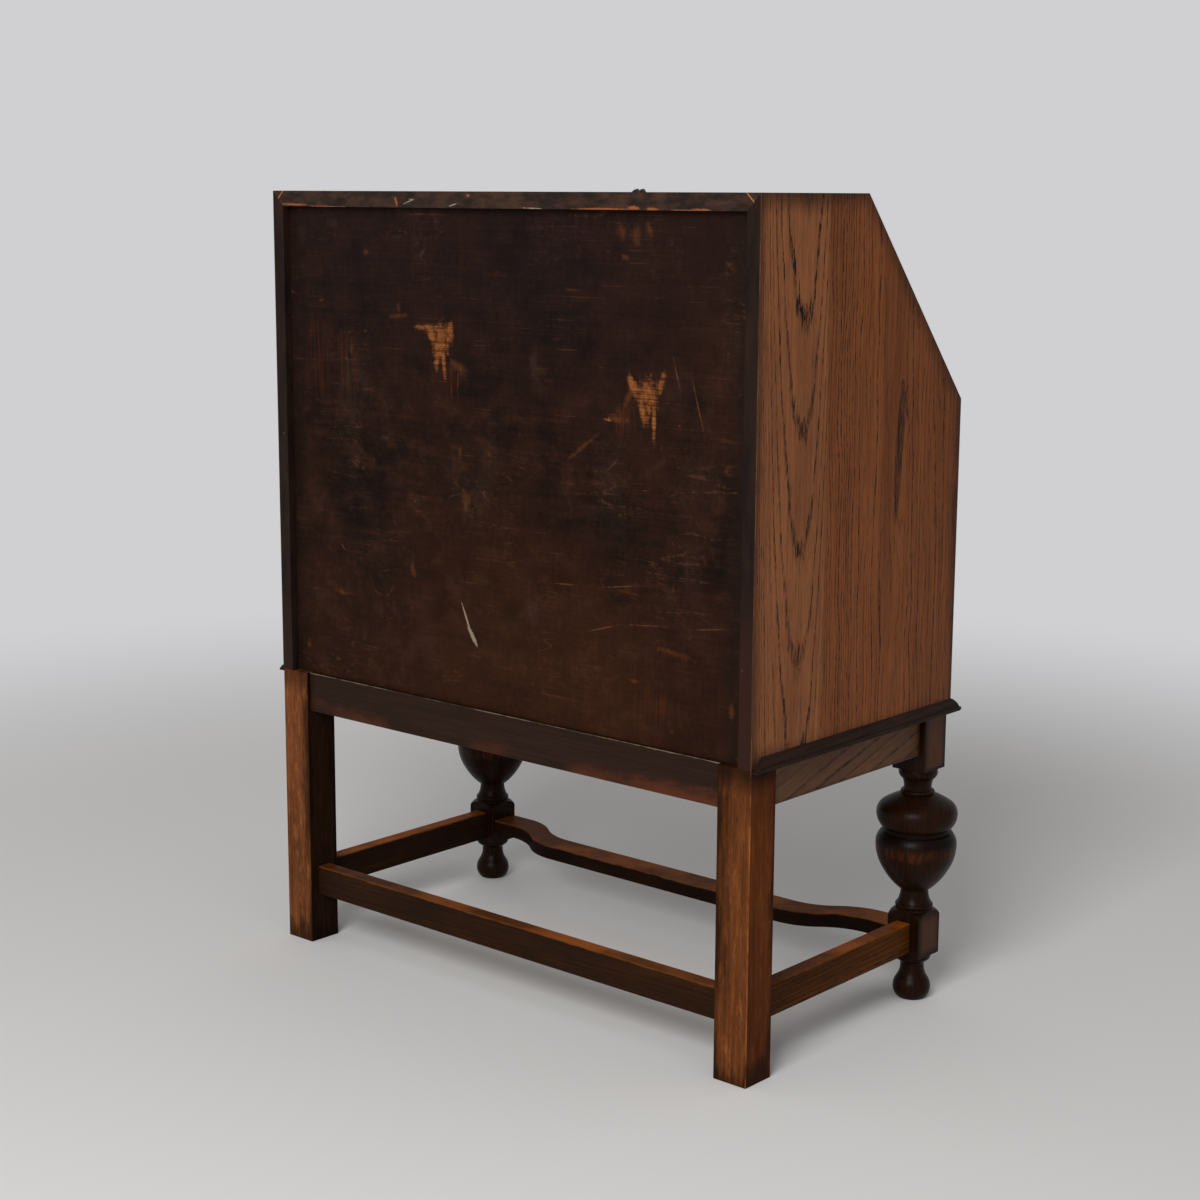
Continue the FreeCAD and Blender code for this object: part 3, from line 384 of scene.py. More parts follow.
# Shine of waxed and of grimed boards, and the depth of the grain and the width of wear in metres
WAXED = 0.14
DULL = 0.08
GRAIN_RELIEF = 0.00022
EDGE_WEAR = 0.0016


def oak(name, cut, stain, box, contrast=0.85, shine=WAXED, seam=0.0):
    """A stained oak board whose edges have worn paler, or darkened with painted shade along the gap where
    it slides in an opening.
    """
    finish = Finish(name, cut.seed)
    finish.color, height = oak_color(finish, cut, stain, contrast)
    rub = finish.noise(45, 3, 0.6, cut.seed + 6)
    grime = finish.noise(7, 3, 0.6, cut.seed + 7)
    from_edge = finish.edge(*box)
    soiled = (from_edge + grime.swing(0.008)).fall(0.0, 0.006) * 0.6
    finish.lay(soiled, stain.pore)
    worn = (from_edge + rub.swing(3 * EDGE_WEAR)).fall(0.0002, EDGE_WEAR) * 0.55
    finish.lay(worn, stain.worn)
    finish.dim(grime * 0.5 + 0.75)
    # Painted shade along the gap around a board that slides in an opening
    if seam:
        gap_shade = (from_edge + rub.swing(seam)).fall(0.4 * seam, 1.3 * seam) * 0.88
        finish.lay(gap_shade, SHADE_AND_GRIME)
    roughness = 0.5 + rub.swing(0.16) - height * 0.1
    return finish.done(roughness, height, GRAIN_RELIEF, shine=shine)


def dress(node, material):
    """Gives a CAD node its finish."""
    for entry in frame["nodes"][node].material_slots:
        entry.material = material


CASE = Stain((149, 93, 57), (121, 72, 41), (20, 11, 6), (160, 107, 67))
RED_CASE = Stain((137, 78, 40), (110, 59, 27), (24, 13, 6), (146, 92, 58))
LEG = Stain((113, 64, 32), (78, 42, 20), (16, 10, 6), (154, 94, 54))
PALE_LEG = Stain((128, 75, 43), (95, 54, 28), (22, 13, 8), (168, 108, 66))
TURNED = Stain((38, 17, 7), (22, 10, 4), (9, 5, 3), (96, 47, 16))
RAIL = Stain((106, 70, 45), (88, 57, 37), (16, 10, 7), (112, 76, 50))
DARK_RAIL = Stain((46, 28, 19), (35, 21, 14), (20, 12, 9), (64, 37, 23))
STRETCHER = Stain((91, 50, 15), (62, 34, 10), (18, 10, 5), (132, 80, 34))
INNER = Stain((128, 88, 57), (110, 73, 46), (64, 40, 25), (140, 100, 66))
DRAWER = Stain((178, 140, 98), (160, 122, 81), (120, 87, 56), (186, 148, 106))
MOULDING = Stain((44, 27, 18), (33, 19, 12), (19, 12, 8), (70, 44, 30))

# Painted shade in the gaps around sliding boards and, with grime, on the hidden faces of the rear legs;
# painted shade with soot on the inner faces and undersides of the stretchers, and with soil on the rear
# one
SHADE_AND_GRIME = paint(12, 7, 5)
SHADE_AND_SOOT = paint(24, 15, 11)
REAR_SHADE_AND_SOIL = paint(31, 20, 15)

# Side boards: soil along the outline and the rear corner, and the dark rear edge, whose colours also
# paint shade in the rebate behind the back panel
SIDE_SOIL = paint(30, 17, 10)
CORNER_SOIL = paint(44, 22, 12)
EDGE_DARK = paint(22, 14, 11)
EDGE_PALE = paint(41, 25, 18)
EDGE_RED = paint(58, 30, 20)

# Rear edge of the top
TOP_DARK = paint(34, 24, 19)
TOP_PALE = paint(62, 42, 32)
TOP_BARE_WOOD = paint(152, 86, 48)
TOP_SCUFFED = paint(166, 152, 140)
MITRE_CRACK = paint(170, 104, 62)

# Back panel, from its stain to its marks
PANEL_DARK = paint(18, 11, 8)
PANEL_PALE = paint(41, 22, 15)
PANEL_WARM = paint(53, 28, 14)
PANEL_COOL = paint(31, 21, 21)
PANEL_RUSTY = paint(80, 38, 17)
PANEL_BLOTCH = paint(21, 13, 10)
PANEL_GHOST = paint(52, 37, 29)
PANEL_WISP = paint(63, 40, 27)
PANEL_RIM = paint(30, 20, 16)
PANEL_HAIR = paint(90, 54, 33)
PANEL_SCUFF = paint(104, 68, 44)
PANEL_DUST = paint(124, 98, 76)
PANEL_FAINT = paint(106, 62, 31)
BARE_DARK = paint(80, 45, 21)
BARE_PALE = paint(146, 86, 42)
PANEL_SCRATCH = paint(116, 74, 44)
PANEL_GOUGE = paint(142, 126, 108)
PANEL_INSIDE_DARK = paint(64, 40, 25)
PANEL_INSIDE_PALE = paint(92, 60, 38)

# Stand, with painted shadow on the rail's top, soil and painted shade on the rear legs' inner edges and
# heads, painted shade in the turned legs' grooves, and a painted warm floor reflection on the rear legs'
# outer sides
RAIL_RUBBED = paint(94, 48, 27)
RAIL_TOP_SHADOW = paint(24, 16, 13)
RAIL_LEDGE = paint(132, 112, 92)
LEG_INNER_SOIL_AND_SHADE = paint(34, 18, 9)
LEG_SIDE_FLOOR_REFLECTION = paint(99, 43, 10)
LEG_SOIL_AND_SHADE = paint(28, 15, 8)
GROOVE_SHADE = paint(10, 6, 5)
BLOCK_FACE = paint(82, 48, 27)
TREAD_DARK = paint(92, 46, 13)
TREAD_PALE = paint(156, 82, 26)

# Metal
BRASS_BRIGHT = paint(176, 137, 76)
BRASS_TARNISH = paint(132, 98, 52)
BRASS_SPECK = paint(78, 57, 33)
IRON = paint(70, 66, 62)
IRON_RUST = paint(74, 54, 42)


def side_finish(node, seed, outer, red_foot):
    """End board glued from three boards: a flat-sawn one at the back, then two straighter ones.

    The foot of its rear edge is as red as red_foot says.
    """
    finish = Finish(node, seed)
    face = -outer
    streak = (back_plane - 0.266, 0.68, 0.018, 0.15, 1.9)
    knot = (back_plane - 0.251, 0.552, 0.006, 0.012, 1.4)
    sliver = (back_plane - 0.205, 0.64, 0.014, 0.12, 1.2)
    rear = Cut(Z, Y, heart=back_plane - 0.083, depth=0.07, face=face, taper=0.0776, ring=0.0095,
               uneven=0.11, band=0.28, seed=seed + 0.1, phase=5.59, crowd=2200.0,
               middle=back_plane - 0.07, jag=0.03, wave=0.003)
    middle = Cut(Z, Y, heart=back_plane - 0.55, depth=0.1, face=face, taper=0.012, ring=0.0052,
                 uneven=0.75, band=0.46, seed=seed + 0.4, eyes=(sliver,), wave=0.008)
    front = Cut(Z, Y, heart=back_plane + 0.1, depth=0.06, face=face, taper=-0.02, ring=0.0095,
                uneven=0.8, band=0.36, seed=seed + 0.7, eyes=(streak, knot), wave=0.013)
    rear_color, rear_height = oak_color(finish, rear, CASE, 1.2)
    middle_color, middle_height = oak_color(finish, middle, RED_CASE, 1.0)
    front_color, front_height = oak_color(finish, front, RED_CASE, 1.0)
    front_color = finish.shade(front_color, 0.92)
    blend = finish.noise((3, 3, 2), 1, 0.5, 3).swing(0.02)
    past_rear = (finish.y + blend).fall(back_plane - 0.1255, back_plane - 0.1205)
    past_front = (finish.y + blend).fall(back_plane - 0.233, back_plane - 0.227)
    finish.color = finish.mix(past_front, finish.mix(past_rear, rear_color, middle_color), front_color)
    height = rear_height + past_rear * (middle_height - rear_height)
    height = height + past_front * (front_height - height)
    rub = finish.noise((45, 45, 18), 3, 0.6, 5)
    grime = finish.noise(6, 3, 0.6, 6)
    aside = (finish.y - streak[0] + (finish.z - streak[1]) * 0.05) / 0.0085
    beyond = (finish.z - streak[1]) / 0.088
    inside = (aside * aside + beyond * beyond + rub.swing(0.7)).fall(0.45, 1.0)
    pricks = finish.noise((40, 620, 62), 2, 0.6, 8).rise(0.4, 0.56)
    finish.lay(inside * (pricks * 0.55 + 0.32), RED_CASE.pore)
    outline = finish.profile_reach(node) + grime.swing(0.03) + rub.swing(0.008)
    finish.lay(outline.fall(-0.004, 0.026) * 0.7, SIDE_SOIL)
    rear_reach = back_plane - finish.y + grime.swing(0.014) + rub.swing(0.006)
    finish.lay(rear_reach.fall(0.0, 0.014) * 0.62, CORNER_SOIL)
    finish.dim(grime * 0.4 + 0.8)
    on_edge = finish.y.rise(*REAR_EDGE)
    smudge = finish.noise((60, 60, 12), 3, 0.6, 7).rise(0.3, 0.75)
    edge_color = finish.mix(smudge, EDGE_DARK, EDGE_PALE)
    low_red = (finish.z + smudge.swing(0.08)).fall(0.44, 0.56) * red_foot
    edge_color = finish.mix(low_red * 0.6, edge_color, EDGE_RED)
    edge_color = finish.shade(edge_color, 1.12 - 0.22 * red_foot)
    on_inner_face = (finish.x - outer).size().rise(0.016, 0.018)
    # Painted shade: the inner face in the rebate behind the back panel takes the dark colours of the rear
    # edge
    recess_shade = finish.y.rise(panel_back - 0.004, panel_back) * on_inner_face
    finish.lay(on_edge.high(recess_shade), edge_color)
    arris = (finish.x - outer).size().high(back_plane - finish.y)
    worn = (arris + rub.swing(0.0035)).fall(0.0002, 0.0015) * (rub.rise(0.48, 0.66) * 0.5 + 0.12)
    finish.lay(worn, CASE.worn)
    roughness = 0.5 + rub.swing(0.14) - height * 0.1
    return finish.done(roughness, height, GRAIN_RELIEF, shine=0.1)


# Marks on the rear edge of the top and on the back panel: the start and end of each stroke as x and z,
# and half its thickness, in millimetres
TOP_BARE = [
    ((372, 954), (308, 952.5), 1.8), ((320, 951.5), (235, 951), 1), ((162, 966), (156, 950), 2.2),
    ((43, 965.5), (36, 965.5), 2), ((-115, 951.7), (-225, 951.7), 1.6), ((-198, 953), (-220, 953), 3),
    ((-224, 952), (-246, 952), 2.4), ((-285, 952), (-318, 951.5), 2), ((-250, 951.3), (-318, 951.3), 0.9),
]
TOP_SCUFFS = [
    ((148, 954.8), (124, 962.5), 1.4), ((140, 961), (126, 960), 1.2), ((77, 951.2), (49, 958.5), 0.9),
    ((-40, 952), (-85, 951.5), 0.8),
]


def top_finish(node):
    """Top board: waxed oak above, a dark stained edge at the back, rubbed to bare wood along its foot."""
    low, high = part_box(node)
    finish = Finish(node, 2.3)
    cut = Cut(X, Y, heart=back_plane - 0.11, depth=0.04, face=high.z, taper=0.06, ring=0.009, uneven=0.1,
              band=0.3, seed=2.3)
    finish.color, height = oak_color(finish, cut, CASE, 0.8)
    rub = finish.noise((120, 120, 220), 4, 0.65, 1)
    cloud = finish.noise((40, 40, 100), 3, 0.6, 3)
    edge_color = finish.mix(cloud.rise(0.35, 0.7), TOP_DARK, TOP_PALE)
    bare = (finish.strokes(TOP_BARE) + rub.swing(1.5)).rise(0.0, 0.6)
    edge_color = finish.mix(bare * 0.75, edge_color, TOP_BARE_WOOD)
    scuffs = (finish.strokes(TOP_SCUFFS) + rub.swing(2.4)).rise(0.2, 0.7)
    edge_color = finish.mix(scuffs * 0.7, edge_color, TOP_SCUFFED)
    on_edge = finish.y.rise(*REAR_EDGE)
    finish.lay(on_edge, edge_color)
    across = low.z - finish.z
    for end in (low.x, high.x):
        mitre = ((finish.x - end).size() + across).size()
        crack = (mitre + rub.swing(0.002)).fall(0.0004, 0.0016) * on_edge
        finish.lay(crack * 0.85, MITRE_CRACK)
    return finish.done(0.48 + rub.swing(0.2), height, GRAIN_RELIEF, shine=0.12)


BARE = [
    ((92, 820.5), (100, 773), 13.5), ((142, 812), (92, 812), 4.6), ((82, 820), (80, 792), 7),
    ((96, 800), (89.9, 748), 4.2), ((104, 790), (104, 762), 4.5), ((124, 814), (99, 790), 8.5),
    ((-193, 778), (-209, 748), 6.2), ((-247, 781), (-237, 750), 4.8), ((-223, 774.5), (-223, 730), 16.5),
    ((-212, 756), (-220.8, 714), 6), ((-231, 752), (-232, 703), 3.4), ((-158, 722.5), (-171, 722), 2.2),
]
FAINT = [
    ((68.6, 778), (69.1, 724.5), 1.6), ((80, 752), (79.7, 728), 1.5), ((86, 776), (50, 758), 7),
    ((230, 897), (218, 898.5), 5), ((312, 835.5), (300, 839), 3), ((169.4, 842), (168, 825), 4),
    ((253.3, 790), (253.3, 769), 3.6), ((190, 820), (150, 826), 5), ((-183, 942), (-188, 914), 9),
    ((-203, 940), (-204, 908), 8), ((-222, 943), (-223, 918), 6), ((-182, 902), (-196, 900), 5),
    ((66.4, 676), (66.4, 659), 4), ((341.2, 405), (341.2, 390), 7), ((-185, 733), (-206, 766), 6),
    ((-160, 725), (-195, 723), 6), ((-160, 712), (-100, 668), 3.6), ((-242, 701), (-242.4, 690), 2),
    ((53.1, 625), (56, 593), 11), ((150, 527), (144, 501), 6), ((151.3, 476), (151.3, 462), 4),
    ((295, 476), (258, 470), 5), ((-230, 476), (-295, 466), 6), ((-195, 431), (-218, 432), 3),
    ((-344.6, 432), (-345, 405), 5),
]
SCRATCHES = [
    ((-256.8, 798.5), (-269.5, 756), 1.2), ((-283, 778), (-304, 708.5), 1.2),
    ((-80, 527.8), (-122.5, 530.4), 1.1), ((-145, 530.4), (-226, 542.5), 0.9),
    ((-132, 477.5), (-190, 494.5), 1), ((-188, 494), (-258, 500), 0.9), ((-181.5, 680), (-161, 662), 0.8),
    ((-212, 647.5), (-229, 648), 1), ((-336, 656), (-352, 657.4), 1.2), ((279, 537), (269, 525), 1.2),
    ((-190.5, 727), (-195, 719.5), 0.9), ((-266, 722.6), (-269.5, 722.2), 1.4),
    ((145, 601.5), (141.8, 601.5), 1.4), ((-280, 500), (-350, 510), 0.8),
]
GOUGE = [((66.8, 490), (44, 438), 1.8), ((57, 462), (37.5, 434), 3.4)]
RUSTY = [
    ((315, 840), (315, 690), 30), ((262, 830), (258, 690), 28), ((-200, 415), (-300, 395), 26),
    ((90, 770), (50, 750), 20), ((-170, 740), (-200, 710), 20),
]
DARK_BLOTCHES = [
    ((230, 520), (195, 470), 45), ((-10, 510), (-25, 455), 25), ((50, 680), (48, 615), 22),
    ((0, 920), (-20, 880), 30), ((-20, 790), (-35, 725), 25), ((-338, 490), (-340, 430), 18),
    ((320, 400), (280, 375), 18), ((-245, 890), (-260, 800), 45),
]
GREY_GHOSTS = [
    ((-282, 595), (-278, 530), 9), ((-52, 520), (-50, 460), 12), ((186, 485), (180, 450), 7),
    ((-54, 800), (-58, 735), 14), ((343, 935), (340, 900), 9), ((300, 936), (270, 930), 11),
    ((20, 665), (60, 600), 12), ((143, 550), (150, 510), 8),
]


def panel_finish(node):
    """Thin dark panel at the back, with fine level grain, blotched stain, bare scuffs and scratches."""
    finish = Finish(node, 0.6)
    fibre = finish.noise((11, 200, 520), 3, 0.65, 1)
    brush = finish.noise((4, 60, 150), 3, 0.6, 2)
    cloud = finish.noise((7, 7, 6), 5, 0.62, 3)
    bloom = finish.noise((3.2, 3.2, 2.6), 3, 0.55, 4)
    streak = finish.noise((110, 110, 16), 3, 0.6, 5)
    crumb = finish.noise(170, 4, 0.65, 6)
    mottle = finish.noise((26, 26, 34), 5, 0.7, 8)
    haze = finish.noise((9, 9, 4), 4, 0.6, 9)
    upright = finish.noise((300, 300, 14), 3, 0.65, 10)
    tone = cloud * 0.5 + brush * 0.2 + mottle * 0.3
    finish.color = finish.mix(tone.rise(0.38, 0.62), PANEL_DARK, PANEL_PALE)
    warm = finish.z.fall(0.36, 0.6) * 0.7 + bloom.rise(0.46, 0.66) * 0.55
    finish.lay(warm.low(1.0) * 0.7, PANEL_WARM)
    finish.lay(finish.z.rise(0.64, 0.94) * 0.5, PANEL_COOL)
    rusty = (finish.strokes(RUSTY) + cloud.swing(1.8) + upright.swing(1.2)).rise(0.1, 1.1)
    finish.lay(rusty * upright.rise(0.4, 0.62) * 0.34, PANEL_RUSTY)
    shadow = (finish.strokes(DARK_BLOTCHES) + cloud.swing(2.2) + mottle.swing(1.6)).rise(0, 1)
    finish.lay(shadow * 0.44, PANEL_BLOTCH)
    ghost = (finish.strokes(GREY_GHOSTS) + mottle.swing(2.6) + streak.swing(1.2)).rise(0, 1)
    veil = (haze + crumb.swing(0.25)).rise(0.52, 0.68) * finish.z.rise(0.42, 0.8)
    finish.lay((ghost * 0.45).high(veil * 0.4), PANEL_GHOST)
    wisp = (finish.noise((6, 6, 9), 4, 0.6, 13, swirl=0.9) - 0.47).size().fall(0.0, 0.055)
    lower_part = finish.z.fall(0.62, 0.84)
    finish.lay(wisp * lower_part * mottle.rise(0.36, 0.62) * 0.27, PANEL_WISP)
    cold = finish.x.fall(-0.352, -0.326) + finish.x.rise(0.325, 0.362)
    finish.lay(cold.low(1.0) * 0.6, PANEL_RIM)
    hair = finish.noise((9, 9, 420), 3, 0.65, 7).rise(0.58, 0.72) * mottle.rise(0.46, 0.62)
    finish.lay(hair * 0.44, PANEL_HAIR)
    finish.dim(fibre * 0.55 + upright * 0.4 + crumb * 0.6 + mottle * 0.5 - 0.045)
    wander = (finish.noise((7, 7, 46), 1, 0.5, 12, swirl=0.5) - 0.5).size().fall(0.002, 0.014)
    scuffed = haze.rise(0.46, 0.6) * crumb.rise(0.4, 0.62)
    finish.lay(wander * scuffed * 0.26, PANEL_SCUFF)
    dust = finish.noise(420, 1, 0.5, 11).rise(0.8, 0.86) * mottle.rise(0.4, 0.6)
    finish.lay(dust * 0.5, PANEL_DUST)
    ragged = fibre.swing(0.6) + streak.swing(1.2) + crumb.swing(1.1)
    faint = (finish.strokes(FAINT) + ragged * 1.2).rise(0.0, 1.1)
    finish.lay(faint * 0.36, PANEL_FAINT)
    bare = (finish.strokes(BARE) + ragged * 1.1).rise(-0.15, 0.85)
    hatch = (fibre * 0.6 + crumb * 0.4).rise(0.36, 0.62)
    bare_wood = finish.mix(hatch, BARE_DARK, BARE_PALE)
    finish.lay(bare * 0.88, bare_wood)
    scratch = (finish.strokes(SCRATCHES) + crumb.swing(1.8)).rise(0.0, 0.8)
    finish.lay(scratch * 0.42, PANEL_SCRATCH)
    gouge = (finish.strokes(GOUGE) + crumb.swing(0.7)).rise(0.0, 0.4)
    finish.lay(gouge * 0.85, PANEL_GOUGE)
    inner = finish.mix(fibre.rise(0.3, 0.7), PANEL_INSIDE_DARK, PANEL_INSIDE_PALE)
    finish.lay(finish.face_y.fall(-0.4, 0.4), inner)
    roughness = 0.5 + cloud.swing(0.3) + fibre.swing(0.12)
    height = fibre * 0.5 - bare * 0.4 - gouge
    return finish.done(roughness, height, 0.00012, shine=0.04)


def rail_finish(node):
    """Back rail: dark stain, painted shadow on its top, a pale line of wear along its ledge and rubbed
    red along its foot.
    """
    low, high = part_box(node)
    finish = Finish(node, 4.4)
    cut = Cut(X, Z, heart=0.2, depth=0.05, face=-high.y, taper=0.01, ring=0.005, uneven=0.3, band=0.4,
              seed=4.4)
    finish.color, height = oak_color(finish, cut, DARK_RAIL, 0.4)
    rub = finish.noise((60, 60, 140), 4, 0.65, 1)
    patch = finish.noise(7, 2, 0.5, 2)
    foot = (finish.z - low.z + rub.swing(0.03)).fall(0.001, 0.022) * patch.rise(0.42, 0.62)
    finish.lay(foot * 0.65, RAIL_RUBBED)
    # Painted shadow on the rail's top, the ledge at the foot of the back panel
    finish.lay(finish.face_z.rise(0.6, 0.9) * 0.8, RAIL_TOP_SHADOW)
    ledge = (high.z - finish.z).high(high.y - finish.y)
    ledge = (ledge + rub.swing(0.003)).fall(0.0001, 0.0011) * patch.rise(0.34, 0.56)
    finish.lay(ledge * 0.8, RAIL_LEDGE)
    return finish.done(0.5 + rub.swing(0.2), height, 0.0002, shine=0.08)


def leg_finish(node, seed, stain, soil_and_shade):
    """Square rear leg: warm worn faces outside, a painted warm floor reflection on its outer side, soil
    and painted shade on its inner edge, painted shade under the case at its head, and a bright line on
    its corner.
    """
    low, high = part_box(node)
    inner = high.x if high.x < 0 else low.x
    outer = low.x if high.x < 0 else high.x
    finish = Finish(node, seed)
    cut = Cut(Z, X, heart=outer * 1.16, depth=0.07, face=high.y, taper=0.006, ring=0.0052, uneven=0.8,
              band=0.46, seed=seed)
    finish.color, height = oak_color(finish, cut, stain, 0.26)
    rub = finish.noise((70, 70, 30), 4, 0.65, 1)
    grime = finish.noise((46, 46, 6), 4, 0.65, 2)
    fleck = finish.noise((420, 420, 60), 2, 0.6, 3).rise(0.54, 0.7)
    finish.lay(fleck * 0.42, stain.pore)
    ray = finish.noise((190, 190, 44), 3, 0.65, 4)
    finish.lay(ray.rise(0.5, 0.7) * 0.26, stain.worn)
    mottle = finish.noise((120, 120, 160), 3, 0.65, 5)
    finish.dim(grime * 0.8 + ray * 0.45 + mottle * 0.3 + 0.22)
    # Soil with painted shade: darker towards the inner edge and on the inner face
    from_inner = (finish.x - inner).size() + grime.swing(0.05)
    finish.lay(from_inner.fall(0.002, 0.026) * 0.55 * soil_and_shade, LEG_INNER_SOIL_AND_SHADE)
    # Painted warm reflection from the floor on the outer side face
    on_side = (finish.x - outer).size().fall(0.001, 0.002)
    finish.lay(on_side * 0.4, LEG_SIDE_FLOOR_REFLECTION)
    finish.dim(1.0 - on_side * (finish.z + grime.swing(0.2)).fall(0.1, 0.26) * 0.25)
    upper_part = (finish.z + grime.swing(0.1)).rise(0.2, 0.36)
    finish.dim(1.0 - upper_part * (0.32 * soil_and_shade))
    from_edge = finish.edge(low, high)
    arris = (finish.x - outer).size().high(high.y - finish.y)
    soiled = (from_edge + grime.swing(0.04)).fall(0.0, 0.009) * arris.rise(0.002, 0.014) * 0.7
    soiled = soiled.high((finish.z + grime.swing(0.1)).fall(0.004, 0.034) * 0.75)
    # Painted shade under the case darkens the head of the leg; along its edges and at its foot the
    # darkening is soil
    head_shade = 0.35 + 0.45 * soil_and_shade
    soiled = soiled.high((high.z - finish.z + grime.swing(0.02)).fall(0.004, 0.036) * head_shade)
    finish.lay(soiled, LEG_SOIL_AND_SHADE)
    # Painted shade with grime: the inner and front faces under the stand are painted near black
    hidden_shade = (finish.x - inner).size().low(finish.y - low.y).fall(0.0004, 0.0012)
    finish.lay(hidden_shade * 0.9, SHADE_AND_GRIME)
    worn = (arris + rub.swing(0.003)).fall(0.0003, 0.0015) * 0.75
    finish.lay(worn, stain.worn)
    return finish.done(0.45 + rub.swing(0.2), height, 0.00025, shine=0.02)


# Levels of the turned leg from the floor, and half the width of its blocks, in metres
CUP_RUBBED = 0.1905
GROOVE = 0.2085
UPPER_BLOCK_FOOT = (0.292, 0.296)
LOWER_BLOCK_FOOT = (0.058, 0.068)
LOWER_BLOCK_HEAD = (0.098, 0.11)
BLOCK_HALF = 0.023


def turned_finish(node, seed):
    """Dark polished turned leg, rubbed to orange on the cup, with painted shade turning its groove and
    the cup's shoulder under the cover black.
    """
    low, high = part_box(node)
    middle = (low + high) / 2
    finish = Finish(node, seed)
    cut = Cut(Z, Y, heart=middle.y + 0.06, depth=0.02, face=-middle.x, taper=0.02, ring=0.0056,
              uneven=0.2, band=0.4, seed=seed)
    finish.color, height = oak_color(finish, cut, TURNED, 0.7)
    lathe = finish.noise((0.5, 0.5, 900), 1, 0.5, 1)
    rub = finish.noise(60, 4, 0.65, 2)
    streaks = finish.noise((160, 160, 22), 3, 0.6, 4)
    rubbed = ((finish.z - CUP_RUBBED).size() + rub.swing(0.022)).fall(0.0, 0.01)
    finish.lay(rubbed * streaks.rise(0.35, 0.7) * 0.5, TURNED.worn)
    # Painted shade: the groove and the cup's shoulder under the overhanging cover are painted near black
    groove = ((finish.z - GROOVE).size() + rub.swing(0.004)).fall(0.006, 0.0125) * 0.75
    finish.lay(groove, GROOVE_SHADE)
    outer = (middle.x - finish.x if middle.x < 0 else finish.x - middle.x) - BLOCK_HALF
    from_block_edge = BLOCK_HALF - (finish.y - middle.y).size()
    on_face = outer.size().fall(0.0006, 0.0014) * from_block_edge.rise(0.001, 0.012)
    in_block = finish.z.rise(*UPPER_BLOCK_FOOT).high(
        finish.z.rise(*LOWER_BLOCK_FOOT) * finish.z.fall(*LOWER_BLOCK_HEAD))
    finish.lay(on_face * in_block * (rub * 0.6 + 0.4), BLOCK_FACE)
    finish.dim(finish.noise(9, 3, 0.6, 3) * 0.6 + 0.7)
    return finish.done(0.34 + rub.swing(0.2), height + lathe * 0.3, 0.00012, shine=0.075)


def stretcher_finish(node, seed, along, dark_side, dark, shade_and_soil_color=SHADE_AND_SOOT, soiled_end=0.0):
    """Stretcher rubbed by feet to a warm brown on top.

    Its dark side is the way its faces darkened with painted shade and dirt look, or no way where all
    upright sides are; its underside is darkened with painted shade as well. A soiled end is how much of
    that colour lies at one end of the top.
    """
    low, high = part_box(node)
    finish = Finish(node, seed)
    face = ((low + high) / 2).dot(along.cross(Z))
    cut = Cut(along, Z, heart=0.15, depth=0.03, face=face, taper=0.03, ring=0.0056, uneven=0.7,
              band=0.42, seed=seed)
    finish.color, height = oak_color(finish, cut, STRETCHER, 0.8)
    rub = finish.noise((50, 50, 90), 4, 0.65, 1)
    patch = finish.noise((9, 9, 20), 3, 0.6, 2)
    # Painted shade with dirt darkens the dark side, or every upright side where none is given, and the
    # underside
    facing = finish.face_x * dark_side.x + finish.face_y * dark_side.y
    if dark_side.length == 0:
        facing = finish.face_x.size().high(finish.face_y.size())
    below = finish.face_z.fall(-0.8, -0.5)
    amount = patch.swing(0.7) + dark
    finish.lay(facing.rise(0.4, 0.7).high(below) * amount.low(1.0), shade_and_soil_color)
    on_top = finish.face_z.rise(0.6, 0.85)
    top_color = finish.mix(patch.rise(0.38, 0.62), TREAD_DARK, TREAD_PALE)
    finish.lay(on_top * 0.75, top_color)
    if soiled_end:
        finish.lay(on_top * finish.x.rise(-0.05, 0.3) * soiled_end, shade_and_soil_color)
    from_top = (high.z - finish.z + rub.swing(0.005)).fall(0.0003, 0.0018) * (1.0 - on_top)
    near_edge = (finish.edge(low, high) + rub.swing(0.006)).fall(0.0003, 0.0022) * on_top
    finish.lay(from_top.high(near_edge) * 0.55, STRETCHER.worn)
    return finish.done(0.44 + rub.swing(0.2), height, 0.00025, shine=0.025)


def brass_finish():
    """Old brass, brown with tarnish in patches and brighter where it is handled."""
    finish = Finish("brass", 0.2)
    tarnish = finish.noise(120, 4, 0.65, 1)
    speck = finish.noise(900, 2, 0.6, 2)
    finish.color = finish.mix(tarnish.rise(0.3, 0.75), BRASS_BRIGHT, BRASS_TARNISH)
    finish.lay(speck.rise(0.62, 0.8) * 0.4, BRASS_SPECK)
    return finish.done(0.3 + tarnish * 0.25, speck, 0.00003, metallic=1.0)


def iron_finish():
    """Dark iron with a brown film of rust in its hollows."""
    finish = Finish("key_metal", 0.8)
    film = finish.noise(150, 4, 0.65, 1)
    speck = finish.noise(1100, 2, 0.6, 2)
    finish.color = finish.mix(film.rise(0.4, 0.7), IRON, IRON_RUST)
    return finish.done(0.42 + film * 0.25, speck, 0.00004, metallic=0.8)


# Boards that slide in an opening, and the width in metres of the painted shade along the gap around them
SLIDING = ("upper_drawer_front", "lower_drawer_front", "left_loper", "right_loper")
SEAM = 0.0018

# How plain boards differ: how far the heart lies aside in metres, and how steep the rings run
HEART_SWING = 0.05
TAPER_SWING = 0.06


